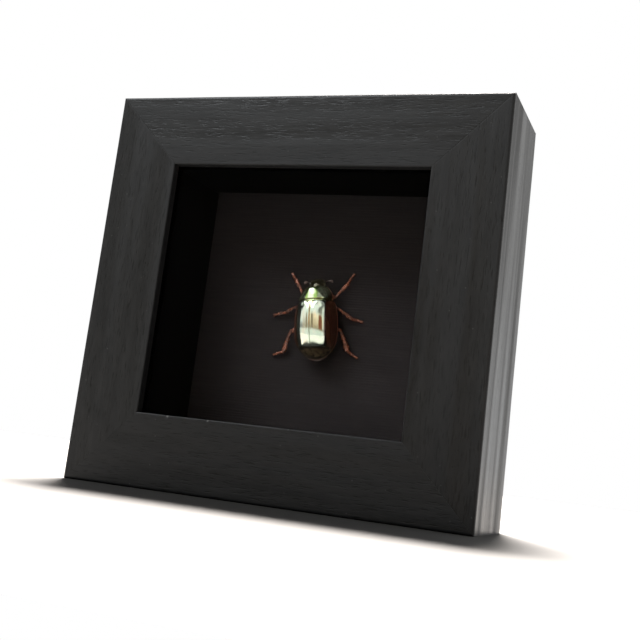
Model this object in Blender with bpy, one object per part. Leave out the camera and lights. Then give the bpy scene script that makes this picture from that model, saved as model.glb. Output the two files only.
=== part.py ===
"""Framed jewel beetle: one scarab on dark paper, behind glass in a deep black wooden frame.

World: +X right, +Y to the back, +Z up, in metres, with the origin under the middle of the frame, on the
surface that it stands on. The beetle is modelled in its own axes on the paper, in millimetres: x across to
the right as the viewer sees it, y along the body towards the head, z up from the paper towards the glass.
An empty turns those axes upright and leans the beetle a little to the left.
"""

from math import cos, pi, radians, sin

import bmesh
import bpy
from mathutils import Vector

MM = 0.001
GAP = 0.3 * MM  # air between neighbouring pieces
FINE = 0.0001 * MM  # points closer than this are one point

# The frame: outer sizes and the section of its moulding
WIDTH = 127.0 * MM
HEIGHT = 121.5 * MM
DEPTH = 35.0 * MM
RAIL = 22.2 * MM  # from the outer edge to the sight edge
RABBET = 6.0 * MM  # how far the sight lip stands over the pane
LIP = 3.0 * MM  # thickness of the sight lip
OUTER_ROUND = 0.9 * MM
SIGHT_ROUND = 0.5 * MM
BACK_ROUND = 0.4 * MM
ROUND_STEPS = 3

# What lies in the rabbet, from the front
GLASS_THICK = 2.0 * MM
PAPER_FACE = 31.5 * MM  # from the frame's front face to the paper
PAPER_THICK = 0.3 * MM
BOARD_THICK = 1.8 * MM
EDGE_BEVEL = 0.2 * MM

# Steel points that hold the board, and the hanger on its back
POINT_LENGTH = 11.0 * MM
POINT_WIDTH = 6.0 * MM
POINT_THICK = 0.45 * MM
HANGER_LENGTH = 42.0 * MM
HANGER_HEIGHT = 7.0 * MM
HANGER_THICK = 0.6 * MM
HANGER_TOOTH = 1.4 * MM
HANGER_TEETH = 9
HANGER_END = 7.0 * MM  # plain length at each end, with the rivet
HANGER_BELOW_TOP = 36.0 * MM
RIVET_RADIUS = 1.7 * MM
RIVET_HIGH = 0.75 * MM
RIVET_SIDES = 16

FRONT = -DEPTH / 2
PANE_EDGE = RAIL - RABBET  # outer edge to the wall of the rabbet

# Where the beetle lies on the paper
BEETLE_X = 1.15 * MM
BEETLE_Z = 58.0 * MM
BEETLE_LEAN = radians(6.5)

# The beetle's body, in millimetres in its own axes
AIR = 0.3
RIM_UP = 3.2  # height of the wing cases' outer edge
ELYTRA_FRONT = 5.2
ELYTRA_REAR = -12.9
ELYTRA_WIDEST = -3.3
ELYTRA_HALF = 7.05
SHOULDER_HALF = 6.1
SHOULDER_START = 3.0
SHOULDER_END = 5.6
BACK_TOP = 10.2
BACK_TOP_AT = -1.5
BACK_FRONT = 9.2
SHELL = 0.6  # thickness of a wing case
DOME = 0.87  # power of the dome's sine and cosine: 1 is an ellipse, less is fuller
BASE_BOW = 0.6  # how far the middle of each seam across the body lies behind its ends
BOW_START = 1.5
SCUTELLUM_TIP = 3.5
SCUTELLUM_SLOPE = 0.75
SCUTELLUM_THICK = 0.5
BELLY_UP = 1.9
PRONOTUM_REAR = 5.5
PRONOTUM_FRONT = 10.2
PRONOTUM_WIDEST = 6.3
PRONOTUM_HALF = 5.6
PRONOTUM_FRONT_HALF = 3.1
PRONOTUM_TOP = 9.1
PRONOTUM_FRONT_TOP = 6.4
PRONOTUM_RIM = 3.5
PRONOTUM_BELLY = 2.0

# Stations of the head: along the body, half width, underside, top
HEAD = (
    (10.35, 2.3, 2.7, 6.0),
    (11.0, 2.5, 2.5, 5.7),
    (11.7, 2.35, 2.5, 5.1),
    (12.3, 1.85, 2.6, 4.4),
    (12.7, 1.35, 2.8, 3.8),
)
HEAD_ASIDE = 0.25  # the head is turned a little to the right
HEAD_BOW = 0.35
EYE_AT = (2.25, 10.95, 4.1)
EYE_RADIUS = 0.62

# Stations of the tail end of the underbody, behind the wing cases' inner faces
TAIL = (
    (-12.0, 3.3, BELLY_UP + 0.15, 2.75),
    (-12.8, 2.4, BELLY_UP + 0.25, 2.7),
    (-13.3, 1.2, BELLY_UP + 0.4, 2.55),
)

# Legs, by their joints: hip, knee, end of the tibia, end of the foot
LEG_JOINTS = {
    "leg_front_left": ((-2.6, 7.7, 1.3), (-5.7, 8.5, 2.1), (-8.3, 13.4, 1.2), (-9.8, 15.8, 0.75)),
    "leg_front_right": ((2.6, 7.5, 1.3), (5.8, 6.7, 2.1), (9.4, 10.9, 1.2), (11.5, 14.2, 0.75)),
    "leg_middle_left": ((-2.4, 2.2, 1.2), (-8.0, 4.3, 2.2), (-11.6, 2.9, 1.0), (-16.0, 2.3, 0.75)),
    "leg_middle_right": ((2.4, 2.0, 1.2), (6.0, 3.4, 1.9), (10.9, -0.35, 1.1), (14.3, -1.4, 0.75)),
    "leg_hind_left": ((-2.4, -3.6, 1.2), (-9.2, -3.2, 2.3), (-12.2, -10.0, 1.15), (-15.8, -10.6, 0.75)),
    "leg_hind_right": ((2.4, -3.8, 1.2), (7.2, -3.6, 2.0), (9.6, -10.7, 1.15), (12.7, -12.7, 0.75)),
}
# Half width and half thickness at the widest point, for the femur and the tibia of each pair
FEMUR_SIZE = {"front": (0.75, 0.5), "middle": (0.8, 0.5), "hind": (1.05, 0.52)}
TIBIA_SIZE = {"front": (0.62, 0.4), "middle": (0.55, 0.42), "hind": (0.82, 0.48)}
TEETH = {"front": (0.55, 0.78, 0.97), "middle": (0.7,), "hind": (0.66,)}  # along the tibia's outer edge
TOOTH_LENGTH = 0.75
FOOT_JOINTS = 5
FOOT_HALF = 0.4
CLAW_LENGTH = 1.1
SPUR_LENGTH = 1.0

# Antennae: head end, bend, club's start and club's tip, for the right one
ANTENNA = ((2.95, 11.6, 3.7), (3.35, 11.95, 3.6), (3.8, 11.85, 3.45), (4.9, 11.6, 3.2))
ANTENNA_HALVES = (0.2, 0.22, 0.3, 0.52, 0.5, 0.25)

GLUE_HALF = (1.7, 2.6)
GLUE_UP = BELLY_UP - AIR


def clear_scene():
    for old in list(bpy.data.objects):
        bpy.data.objects.remove(old, do_unlink=True)


def material(name, colour, roughness, metallic=0.0, transmission=0.0):
    made = bpy.data.materials.new(name)
    made.use_nodes = True
    shader = made.node_tree.nodes["Principled BSDF"]
    shader.inputs["Base Color"].default_value = (*colour, 1.0)
    shader.inputs["Roughness"].default_value = roughness
    shader.inputs["Metallic"].default_value = metallic
    shader.inputs["Transmission Weight"].default_value = transmission
    made.diffuse_color = (*colour, 1.0)
    return made


def add_object(name, mesh, finish, smooth_angle=None, parent=None):
    """Adds the bmesh to the scene as one object with its faces pointing out."""
    bmesh.ops.recalc_face_normals(mesh, faces=mesh.faces)
    data = bpy.data.meshes.new(name)
    mesh.to_mesh(data)
    mesh.free()
    if smooth_angle is not None:
        data.shade_smooth()
        data.set_sharp_from_angle(angle=radians(smooth_angle))
    data.materials.append(finish)
    made = bpy.data.objects.new(name, data)
    made.parent = parent
    bpy.context.scene.collection.objects.link(made)
    return made


def bridge_rings(mesh, rings, scale=1.0):
    """A closed skin over the rings, which have the same number of points, with a flat face on each end."""
    loops = [[mesh.verts.new(Vector(point) * scale) for point in ring] for ring in rings]
    for near, far in zip(loops, loops[1:]):
        for i in range(len(near)):
            j = (i + 1) % len(near)
            mesh.faces.new((near[i], near[j], far[j], far[i]))
    mesh.faces.new(loops[0])
    mesh.faces.new(loops[-1])


def ringed_solid(name, rings, finish, parent, smooth_angle=50):
    mesh = bmesh.new()
    bridge_rings(mesh, rings, MM)
    return add_object(name, mesh, finish, smooth_angle, parent)


def box(name, low, high, finish, bevel=EDGE_BEVEL):
    mesh = bmesh.new()
    bmesh.ops.create_cube(mesh, size=1.0)
    for vert in mesh.verts:
        vert.co = [(a + b) / 2 + c * (b - a) for a, b, c in zip(low, high, vert.co)]
    made = add_object(name, mesh, finish)
    edge = made.modifiers.new("edges", "BEVEL")
    edge.width = bevel
    edge.segments = 1
    return made


def fuse(base, others):
    """Joins the other solids to the base in one body. They stay in the file as wire guides."""
    for other in others:
        other.hide_render = True
        other.display_type = "WIRE"
        union = base.modifiers.new("fuse " + other.name, "BOOLEAN")
        union.operation = "UNION"
        union.solver = "EXACT"
        union.object = other
    return base


def arc(centre, radius, start, end):
    """Points on a quarter circle, from the start angle to the end angle in degrees."""
    steps = [radians(start + (end - start) * i / ROUND_STEPS) for i in range(ROUND_STEPS + 1)]
    return [(centre[0] + radius * cos(a), centre[1] + radius * sin(a)) for a in steps]


def moulding_section():
    """Outline of the moulding as (inward from the outer edge, back from the front face)."""
    outline = arc((OUTER_ROUND, OUTER_ROUND), OUTER_ROUND, 180, 270)
    outline += arc((RAIL - SIGHT_ROUND, SIGHT_ROUND), SIGHT_ROUND, 270, 360)
    outline += [(RAIL, LIP), (PANE_EDGE, LIP), (PANE_EDGE, DEPTH)]
    outline += arc((BACK_ROUND, DEPTH - BACK_ROUND), BACK_ROUND, 90, 180)
    return outline


def rail(name, length, place, finish):
    """A length of the moulding, mitred at both ends. place turns (along, inward) into (x, z)."""
    joint = GAP / 2 * 2**0.5  # half the gap of the mitre, measured along the rail
    mesh = bmesh.new()
    rings = []
    for end in (-1, 1):
        ring = []
        for inward, back in moulding_section():
            x, z = place(end * (length / 2 - inward - joint), inward)
            ring.append((x, FRONT + back, z))
        rings.append(ring)
    bridge_rings(mesh, rings)
    return add_object(name, mesh, finish, 40)


def make_rails(finish):
    middle = HEIGHT / 2
    rail("frame_rail_bottom", WIDTH, lambda along, inward: (along, inward), finish)
    rail("frame_rail_top", WIDTH, lambda along, inward: (along, HEIGHT - inward), finish)
    rail("frame_rail_left", HEIGHT, lambda along, inward: (-WIDTH / 2 + inward, middle + along), finish)
    rail("frame_rail_right", HEIGHT, lambda along, inward: (WIDTH / 2 - inward, middle + along), finish)


def sheet_box(name, front, thick, finish):
    """A sheet that fills the rabbet from wall to wall, its front face at the given depth."""
    side = WIDTH / 2 - PANE_EDGE - GAP
    low = (-side, FRONT + front, PANE_EDGE + GAP)
    high = (side, FRONT + front + thick, HEIGHT - PANE_EDGE - GAP)
    return box(name, low, high, finish, min(EDGE_BEVEL, thick / 4))


def make_spacers(finish):
    """Four strips between the pane and the paper, flush with the sight edge. The side ones stand between."""
    front = FRONT + LIP + GAP + GLASS_THICK + GAP
    back = FRONT + PAPER_FACE - GAP
    outer_x = WIDTH / 2 - PANE_EDGE - GAP
    inner_x = WIDTH / 2 - RAIL
    low_z = PANE_EDGE + GAP
    high_z = HEIGHT - PANE_EDGE - GAP
    box("spacer_bottom", (-outer_x, front, low_z), (outer_x, back, RAIL), finish)
    box("spacer_top", (-outer_x, front, HEIGHT - RAIL), (outer_x, back, high_z), finish)
    box("spacer_left", (-outer_x, front, RAIL + GAP), (-inner_x, back, HEIGHT - RAIL - GAP), finish)
    box("spacer_right", (inner_x, front, RAIL + GAP), (outer_x, back, HEIGHT - RAIL - GAP), finish)


def make_board_points(front, finish):
    """One flat steel point in the middle of each side, over the board's edge, its root at the wood."""
    back = front + POINT_THICK
    half = POINT_WIDTH / 2
    side = WIDTH / 2 - PANE_EDGE - GAP
    low = PANE_EDGE + GAP
    high = HEIGHT - low
    middle = HEIGHT / 2
    reach = POINT_LENGTH
    bevel = POINT_THICK / 4
    box("board_point_left", (-side, front, middle - half), (-side + reach, back, middle + half), finish, bevel)
    box("board_point_right", (side - reach, front, middle - half), (side, back, middle + half), finish, bevel)
    box("board_point_bottom", (-half, front, low), (half, back, low + reach), finish, bevel)
    box("board_point_top", (-half, front, high - reach), (half, back, high), finish, bevel)


def hanger_outline():
    """The hanger's outline as (x, z) from its middle: straight above, toothed below."""
    half = HANGER_LENGTH / 2
    top = HANGER_HEIGHT / 2
    start = half - HANGER_END
    pitch = 2 * start / HANGER_TEETH
    outline = [(-half, -top), (-start, -top)]
    for tooth in range(HANGER_TEETH):
        left = -start + tooth * pitch
        outline += [(left + pitch / 2, -top + HANGER_TOOTH), (left + pitch, -top)]
    return outline + [(half, -top), (half, top), (-half, top)]


def make_hanger(front, finish):
    """A toothed strip on the back of the board, with a rivet's round head fused on at each end."""
    centre_z = HEIGHT - HANGER_BELOW_TOP
    mesh = bmesh.new()
    rings = [[(x, y, centre_z + z) for x, z in hanger_outline()] for y in (front, front + HANGER_THICK)]
    bridge_rings(mesh, rings)
    strip = add_object("sawtooth_hanger", mesh, finish)
    rivets = []
    for side in (-1, 1):
        x = side * (HANGER_LENGTH - HANGER_END) / 2
        mesh = bmesh.new()
        heads = []
        for y, radius in ((HANGER_THICK / 2, 1.0), (HANGER_THICK * 1.3, 0.95), (RIVET_HIGH, 0.6)):
            turns = [2 * pi * i / RIVET_SIDES for i in range(RIVET_SIDES)]
            reach = RIVET_RADIUS * radius
            heads.append([(x + reach * cos(a), front + y, centre_z + reach * sin(a)) for a in turns])
        bridge_rings(mesh, heads)
        rivets.append(add_object("guide_rivet_" + ("left" if side < 0 else "right"), mesh, finish, 40))
    fuse(strip, rivets)


def make_frame():
    wood = material("black_wood", (0.018, 0.018, 0.019), 0.55)
    clear = material("clear_glass", (0.95, 0.97, 0.96), 0.02, transmission=1.0)
    strip = material("black_strip", (0.006, 0.006, 0.006), 0.7)
    paper = material("dark_paper", (0.012, 0.011, 0.011), 0.8)
    board = material("brown_board", (0.16, 0.1, 0.06), 0.75)
    steel = material("zinc_steel", (0.55, 0.55, 0.56), 0.35, metallic=1.0)
    make_rails(wood)
    sheet_box("glass_pane", LIP + GAP, GLASS_THICK, clear)
    make_spacers(strip)
    sheet_box("backing_paper", PAPER_FACE, PAPER_THICK, paper)
    board_front = PAPER_FACE + PAPER_THICK + GAP
    sheet_box("backing_board", board_front, BOARD_THICK, board)
    behind = FRONT + board_front + BOARD_THICK + GAP
    make_board_points(behind, steel)
    make_hanger(behind, steel)


def elytra_half(along):
    """Half width over both wing cases: widest behind the middle, with round shoulders and a round rear."""
    if along < ELYTRA_WIDEST:
        part = (ELYTRA_WIDEST - along) / (ELYTRA_WIDEST - ELYTRA_REAR)
        return ELYTRA_HALF * (1 - part**2.5) ** (1 / 2.1)
    part = (along - ELYTRA_WIDEST) / (ELYTRA_FRONT - ELYTRA_WIDEST)
    half = ELYTRA_HALF - (ELYTRA_HALF - SHOULDER_HALF) * part**2.2
    corner = max(0.0, (along - SHOULDER_START) / (SHOULDER_END - SHOULDER_START))
    return half * (1 - corner**3) ** 0.16


def elytra_top(along):
    """Height of the back's middle line over the wing cases' outer edge."""
    if along > BACK_TOP_AT:
        part = (along - BACK_TOP_AT) / (ELYTRA_FRONT - BACK_TOP_AT)
        return BACK_TOP - (BACK_TOP - BACK_FRONT) * part**2 - RIM_UP
    part = (BACK_TOP_AT - along) / (BACK_TOP_AT - ELYTRA_REAR)
    return (BACK_TOP - RIM_UP) * (1 - part**2.6) ** (1 / 2.0)


def bowed(ring, half, bow):
    """The ring with its middle moved back by bow, less towards its ends at the given half width."""
    return [(x, y - bow * (1 - min(1.0, abs(x) / half) ** 2), z) for x, y, z in ring]


def elytra_bow(along):
    return BASE_BOW * max(0.0, (along - BOW_START) / (ELYTRA_FRONT - BOW_START))


def suture_half(along):
    """Distance of a wing case's inner edge from the middle: a hair, opening round the scutellum."""
    return AIR / 2 + max(0.0, along - SCUTELLUM_TIP) * SCUTELLUM_SLOPE


def dome_arc(inner, outer, high, count):
    """(across, up) points of a quarter dome, from above the inner edge down to the outer edge."""
    turns = [pi / 2 * i / (count - 1) for i in range(count)]
    across = [inner + (outer - inner) * max(0.0, sin(a)) ** DOME for a in turns]
    up = [high * max(0.0, cos(a)) ** DOME for a in turns]
    return [(a, u) for a, u in zip(across, up)]


def spread(first, last, count, crowd=1.0):
    """Stations from first to last, closer together towards the last where crowd is over 1."""
    return [first + (last - first) * (1 - (1 - i / (count - 1)) ** crowd) for i in range(count)]


def make_elytron(name, side, finish, parent):
    """A thin domed shell, closed at its rear tip, with its inner edge along the middle of the back."""
    stations = [ELYTRA_FRONT, 4.9, 4.3, 3.5] + spread(2.2, ELYTRA_REAR + 0.12, 15, 1.7)
    rings = []
    for along in stations:
        inner = suture_half(along)
        outer = elytra_half(along)
        high = elytra_top(along)
        wall = min(SHELL, 0.4 * high, 0.4 * (outer - inner))
        skin = dome_arc(inner, outer, high, 10)
        lining = dome_arc(inner, outer - wall, high - wall, 8)
        ring = skin + lining[::-1]
        placed = [(side * across, along, RIM_UP + up) for across, up in ring]
        rings.append(bowed(placed, outer, elytra_bow(along)))
    return ringed_solid(name, rings, finish, parent)


def make_scutellum(finish, parent):
    rings = []
    for along in (5.1, 4.6, 4.15, 3.85):
        half = suture_half(along) - AIR
        top = RIM_UP + elytra_top(along) - 0.05
        low = top - SCUTELLUM_THICK
        crown = [(-half, top - 0.08), (-half / 2, top), (half / 2, top), (half, top - 0.08)]
        rings.append([(x, along, z) for x, z in crown + [(half, low), (-half, low)]])
        rings[-1] = bowed(rings[-1], elytra_half(along), elytra_bow(along))
    ringed_solid("scutellum", rings, finish, parent)


def body_ring(along, half, low, rim, top, count=9):
    """A closed ring: a full dome above the rim and a flatter one below it."""
    upper = [(half * cos(pi * i / (count - 1)), sin(pi * i / (count - 1))) for i in range(count)]
    ring = [(x, along, rim + (top - rim) * s**DOME if s > FINE else rim) for x, s in upper]
    ring += [(-x, along, rim - (rim - low) * s) for x, s in upper[1:-1]]
    return ring


def make_underbody(finish, parent):
    """Thorax and abdomen: it fills the wing cases with a little air, and its tail end shows behind them."""
    inset = SHELL + AIR + 0.25
    rings = []
    for along in (4.8, 4.1, 2.5, 0.5, -1.5, -3.5, -5.5, -7.5, -9.2, -10.5, -11.3):
        half = elytra_half(along) - inset
        top = RIM_UP + elytra_top(along) - inset - (0.3 if along < -9 else 0.0)
        ring = body_ring(along, half, BELLY_UP, RIM_UP - 0.1, top)
        rings.append(bowed(ring, half, elytra_bow(along)))
    for along, half, low, top in TAIL:
        rings.append(body_ring(along, half, low, (low + top) / 2, top))
    ringed_solid("underbody", rings, finish, parent)


def pronotum_half(along):
    if along < PRONOTUM_WIDEST:
        part = (PRONOTUM_WIDEST - along) / (PRONOTUM_WIDEST - PRONOTUM_REAR)
        return PRONOTUM_HALF - 0.2 * part**2
    part = (along - PRONOTUM_WIDEST) / (PRONOTUM_FRONT - PRONOTUM_WIDEST)
    return PRONOTUM_HALF - (PRONOTUM_HALF - PRONOTUM_FRONT_HALF) * part**1.6


def make_pronotum(finish, parent):
    """The shield behind the head, with the underside of its segment."""
    rings = []
    for along in (5.5, 5.9, 6.5, 7.3, 8.1, 8.9, 9.6, 10.2):
        part = (along - PRONOTUM_REAR) / (PRONOTUM_FRONT - PRONOTUM_REAR)
        top = PRONOTUM_TOP - (PRONOTUM_TOP - PRONOTUM_FRONT_TOP) * part**1.8
        half = pronotum_half(along)
        ring = body_ring(along, half, PRONOTUM_BELLY, PRONOTUM_RIM, top, 13)
        rings.append(bowed(ring, half, BASE_BOW))
    ringed_solid("pronotum", rings, finish, parent)


def make_eye(name, side, finish, parent):
    mesh = bmesh.new()
    bmesh.ops.create_icosphere(mesh, subdivisions=2, radius=EYE_RADIUS * MM)
    centre = Vector((side * EYE_AT[0] + HEAD_ASIDE, EYE_AT[1], EYE_AT[2])) * MM
    bmesh.ops.translate(mesh, verts=mesh.verts, vec=centre)
    return add_object(name, mesh, finish, 60, parent)


def make_head(finish, parent):
    rings = []
    for i, (along, half, low, top) in enumerate(HEAD):
        bow = HEAD_BOW * (1 - i / 2)
        ring = bowed(body_ring(along, half, low, low + 0.35 * (top - low), top), half, bow)
        rings.append([(x + HEAD_ASIDE, y, z) for x, y, z in ring])
    skull = ringed_solid("head", rings, finish, parent)
    eyes = [make_eye("guide_eye_" + word, side, finish, parent) for word, side in (("left", -1), ("right", 1))]
    fuse(skull, eyes)


def limb_ring(centre, direction, half_width, half_thick, sides):
    """An ellipse round the limb's line: its width lies along the paper and its thickness stands up."""
    level = direction.cross(Vector((0, 0, 1))).normalized()
    upright = level.cross(direction).normalized()
    turns = [2 * pi * i / sides for i in range(sides)]
    return [centre + level * half_width * cos(a) + upright * half_thick * sin(a) for a in turns]


def limb(name, path, halves, flat, sides, finish, parent):
    """A closed limb along a path of evenly placed stations; flat is its thickness over its width."""
    points = [Vector(point) for point in path]
    rings = []
    for i, centre in enumerate(points):
        direction = (points[min(i + 1, len(points) - 1)] - points[max(i - 1, 0)]).normalized()
        rings.append(limb_ring(centre, direction, halves[i], halves[i] * flat, sides))
    return ringed_solid(name, rings, finish, parent)


def between(start, end, parts):
    """Points on the straight line from start to end at the given parts of its length."""
    a, b = Vector(start), Vector(end)
    return [a + (b - a) * part for part in parts]


def make_spike(name, root, tip, half, finish, parent):
    return limb(name, between(root, tip, (0.0, 0.6, 1.0)), (half, half * 0.7, half * 0.15), 0.9, 5, finish, parent)


def make_foot(name, start, end, finish, parent):
    """Five short joints in a row, each widening to its end, as one beaded limb."""
    parts = [0.0]
    halves = [FOOT_HALF * 0.6]
    for joint in range(FOOT_JOINTS):
        last = joint == FOOT_JOINTS - 1
        parts += [(joint + 0.75) / FOOT_JOINTS, (joint + 1.0) / FOOT_JOINTS]
        halves += [FOOT_HALF, FOOT_HALF * (0.75 if last else 0.62)]
    return limb(name, between(start, end, parts), halves, 0.85, 6, finish, parent)


def make_leg(name, finish, parent):
    """Femur, tibia with teeth and spurs, five-jointed foot and two claws, grown together."""
    pair = name.split("_")[1]
    side = -1 if name.endswith("left") else 1
    hip, knee, ankle, tip = (Vector(joint) for joint in LEG_JOINTS[name])
    femur_half, femur_thick = FEMUR_SIZE[pair]
    tibia_half, tibia_thick = TIBIA_SIZE[pair]
    spread_femur = [femur_half * k for k in (0.45, 0.85, 1.0, 0.9, 0.6)]
    femur = limb(
        name, between(hip, knee, (0.0, 0.2, 0.5, 0.8, 1.0)), spread_femur,
        femur_thick / femur_half, 8, finish, parent,
    )
    shin = (ankle - knee).normalized()
    spread_tibia = [tibia_half * k for k in (0.55, 0.6, 0.8, 1.0, 0.9)]
    tibia = limb(
        "guide_tibia_" + name, between(knee - shin * 0.35, ankle, (0.0, 0.15, 0.5, 0.88, 1.0)), spread_tibia,
        tibia_thick / tibia_half, 8, finish, parent,
    )
    others = [tibia, make_foot("guide_foot_" + name, ankle - shin * 0.3, tip, finish, parent)]
    outward = shin.cross(Vector((0, 0, 1))).normalized() * side
    for i, part in enumerate(TEETH[pair]):
        root = knee + (ankle - knee) * part + outward * tibia_half * 0.3
        point = root + (outward * 0.85 + shin * 0.5).normalized() * (TOOTH_LENGTH + tibia_half * 0.3)
        others.append(make_spike(f"guide_tooth_{i}_{name}", root, point, 0.24, finish, parent))
    root = ankle - shin * 0.3 - outward * tibia_half * 0.45
    point = root + (shin - outward * 0.35).normalized() * SPUR_LENGTH
    others.append(make_spike("guide_spur_" + name, root, point, 0.16, finish, parent))
    step = (tip - ankle).normalized()
    across = step.cross(Vector((0, 0, 1))).normalized()
    for i, turn in enumerate((-1, 1)):
        root = tip - step * 0.25
        point = root + (step + across * 0.6 * turn + Vector((0, 0, -0.12))).normalized() * CLAW_LENGTH
        others.append(make_spike(f"guide_claw_{i}_{name}", root, point, 0.2, finish, parent))
    fuse(femur, others)


def make_antenna(name, side, finish, parent):
    first, bend, club, tip = (Vector((side * x + HEAD_ASIDE, y, z)) for x, y, z in ANTENNA)
    path = [first, bend, club, club + (tip - club) * 0.3, club + (tip - club) * 0.8, tip]
    limb(name, path, ANTENNA_HALVES, 0.8, 6, finish, parent)


def make_glue(finish, parent):
    """A low round dab between the belly and the paper."""
    half_x, half_y = GLUE_HALF
    rings = []
    for up, reach in ((AIR, 1.0), (GLUE_UP * 0.55, 0.86), (GLUE_UP, 0.8)):
        turns = [2 * pi * i / 16 for i in range(16)]
        rings.append([(half_x * 0.6 * reach * cos(a), half_y * reach * sin(a) - 0.6, up) for a in turns])
    ringed_solid("glue_dab", rings, finish, parent)


def make_beetle():
    place = bpy.data.objects.new("beetle_place", None)
    place.location = (BEETLE_X, FRONT + PAPER_FACE, BEETLE_Z)
    place.rotation_euler = (pi / 2, -BEETLE_LEAN, 0)
    bpy.context.scene.collection.objects.link(place)
    silver = material("silver_wing_case", (0.82, 0.8, 0.7), 0.12, metallic=1.0)
    green = material("green_metal", (0.5, 0.62, 0.3), 0.12, metallic=1.0)
    bronze = material("bronze_head", (0.12, 0.1, 0.05), 0.25, metallic=0.9)
    copper = material("copper_leg", (0.4, 0.17, 0.09), 0.28, metallic=0.85)
    brown = material("brown_belly", (0.16, 0.07, 0.04), 0.35, metallic=0.6)
    glue = material("clear_glue", (0.75, 0.72, 0.6), 0.3)
    make_elytron("elytron_left", -1, silver, place)
    make_elytron("elytron_right", 1, silver, place)
    make_scutellum(green, place)
    make_underbody(brown, place)
    make_pronotum(green, place)
    make_head(bronze, place)
    for name in LEG_JOINTS:
        make_leg(name, copper, place)
    make_antenna("antenna_left", -1, copper, place)
    make_antenna("antenna_right", 1, copper, place)
    make_glue(glue, place)


clear_scene()
make_frame()
make_beetle()
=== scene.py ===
# %% [markdown]
# # A jewel beetle in a deep black frame
#
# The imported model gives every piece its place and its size. This file gives each one its real surface:
# painted wood, glass, ribbed paper and the polished, grooved skin of a scarab. Sizes are in metres in the
# model; the beetle's own cells work in millimetres on its own axes, as a collector would measure it.

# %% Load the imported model
from math import radians

import bpy
import numpy as np
from mathutils import Matrix, Vector


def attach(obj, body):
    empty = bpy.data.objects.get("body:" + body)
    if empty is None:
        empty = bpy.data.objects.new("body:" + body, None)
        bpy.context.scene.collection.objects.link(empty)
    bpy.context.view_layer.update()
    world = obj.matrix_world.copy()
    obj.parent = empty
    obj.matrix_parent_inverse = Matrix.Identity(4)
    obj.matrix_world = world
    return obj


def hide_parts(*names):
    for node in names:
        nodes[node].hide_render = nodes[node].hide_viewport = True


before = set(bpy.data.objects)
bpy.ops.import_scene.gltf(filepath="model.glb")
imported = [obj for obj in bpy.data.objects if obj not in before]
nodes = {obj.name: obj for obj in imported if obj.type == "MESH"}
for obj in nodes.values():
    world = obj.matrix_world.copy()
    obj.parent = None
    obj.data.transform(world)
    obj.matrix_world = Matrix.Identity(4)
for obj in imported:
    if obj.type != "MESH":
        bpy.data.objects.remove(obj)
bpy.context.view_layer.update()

MM = 0.001

# %% [markdown]
# ## The camera
#
# A photograph of a box gives away its camera: the frame's eight outer corners and its four sight corners
# leave only one place to stand. The camera is low, to the right of the frame, and looks up at it a little,
# because here the frame stands upright. The shift moves the picture on the film without turning anything.

# %% Stand the camera
CAMERA_AT = (0.12027, -0.28085, 0.01609)
LOOK = Vector((-0.35376, 0.92044, 0.16627)).normalized()
HEADROOM = Vector((-0.0536, -0.19742, 0.97885))
FRAME_PIXELS = 640
FOCAL_PIXELS = 1006.2
SHIFT_PIXELS = (-22.2, -33.4)
SENSOR_MM = 36.0

sideways = LOOK.cross(HEADROOM).normalized()
upright = sideways.cross(LOOK)
stand = Matrix((sideways, upright, -LOOK)).transposed().to_4x4()
stand.translation = CAMERA_AT
lens = bpy.data.cameras.new("camera")
lens.sensor_width = SENSOR_MM
lens.lens = FOCAL_PIXELS / FRAME_PIXELS * SENSOR_MM
lens.shift_x, lens.shift_y = (pixels / FRAME_PIXELS for pixels in SHIFT_PIXELS)
lens.clip_start = 0.005
camera = bpy.data.objects.new("camera", lens)
camera.matrix_world = stand
scene = bpy.context.scene
scene.collection.objects.link(camera)
scene.camera = camera
scene.view_settings.view_transform = "Standard"
print("focal length", round(lens.lens, 1), "mm")

# %% [markdown]
# ## Small tools for shader nodes
#
# A material is a graph. Built link by link it takes a page; with one helper that adds a node and wires
# whatever it is given, the graph reads like a formula. A socket as an input is linked, anything else is
# simply set on the socket.


# %% Helpers for materials
def node(tree, kind, inputs=None, **settings):
    """Adds a shader node. settings are its own fields; each input is a value or another node's output."""
    made = tree.nodes.new("ShaderNode" + kind)
    for field, value in settings.items():
        setattr(made, field, value)
    for key, value in (inputs or {}).items():
        if isinstance(value, bpy.types.NodeSocket):
            tree.links.new(value, made.inputs[key])
        else:
            made.inputs[key].default_value = value
    return made


def new_finish(name, **values):
    """A Principled material: values are the shader's sockets by name, with _ for a space."""
    finish = bpy.data.materials.new(name)
    finish.use_nodes = True
    tree = finish.node_tree
    shader = tree.nodes["Principled BSDF"]
    for key, value in values.items():
        shader.inputs[key.replace("_", " ")].default_value = value
    return finish, tree, shader


def stretched(tree, source, scale, turn=(0.0, 0.0, 0.0)):
    """The coordinates, turned and scaled axis by axis: a big number packs the pattern tight that way."""
    mapping = node(tree, "Mapping", {"Vector": source, "Scale": scale, "Rotation": turn})
    return mapping.outputs["Vector"]


def object_places(tree):
    """Metres on the piece's own axes. Every piece sits unturned at the origin, so they are the model's."""
    return node(tree, "TexCoord").outputs["Object"]


def noise(tree, place, scale=1.0, detail=4.0, roughness=0.5, distortion=0.0):
    """Soft random grey: scale packs it tighter, detail adds finer layers, roughness keeps those strong."""
    inputs = {"Vector": place, "Scale": scale, "Detail": detail, "Roughness": roughness, "Distortion": distortion}
    return node(tree, "TexNoise", inputs).outputs["Fac"]


def ramp(tree, source, *stops):
    """Colours along a value from 0 to 1; a stop is (place, grey or (r, g, b))."""
    made = node(tree, "ValToRGB", {"Fac": source})
    knobs = made.color_ramp.elements
    while len(knobs) < len(stops):
        knobs.new(0.5)
    for knob, (place, colour) in zip(knobs, stops):
        knob.position = place
        knob.color = (*colour, 1.0) if isinstance(colour, tuple) else (colour, colour, colour, 1.0)
    return made.outputs["Color"]


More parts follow.
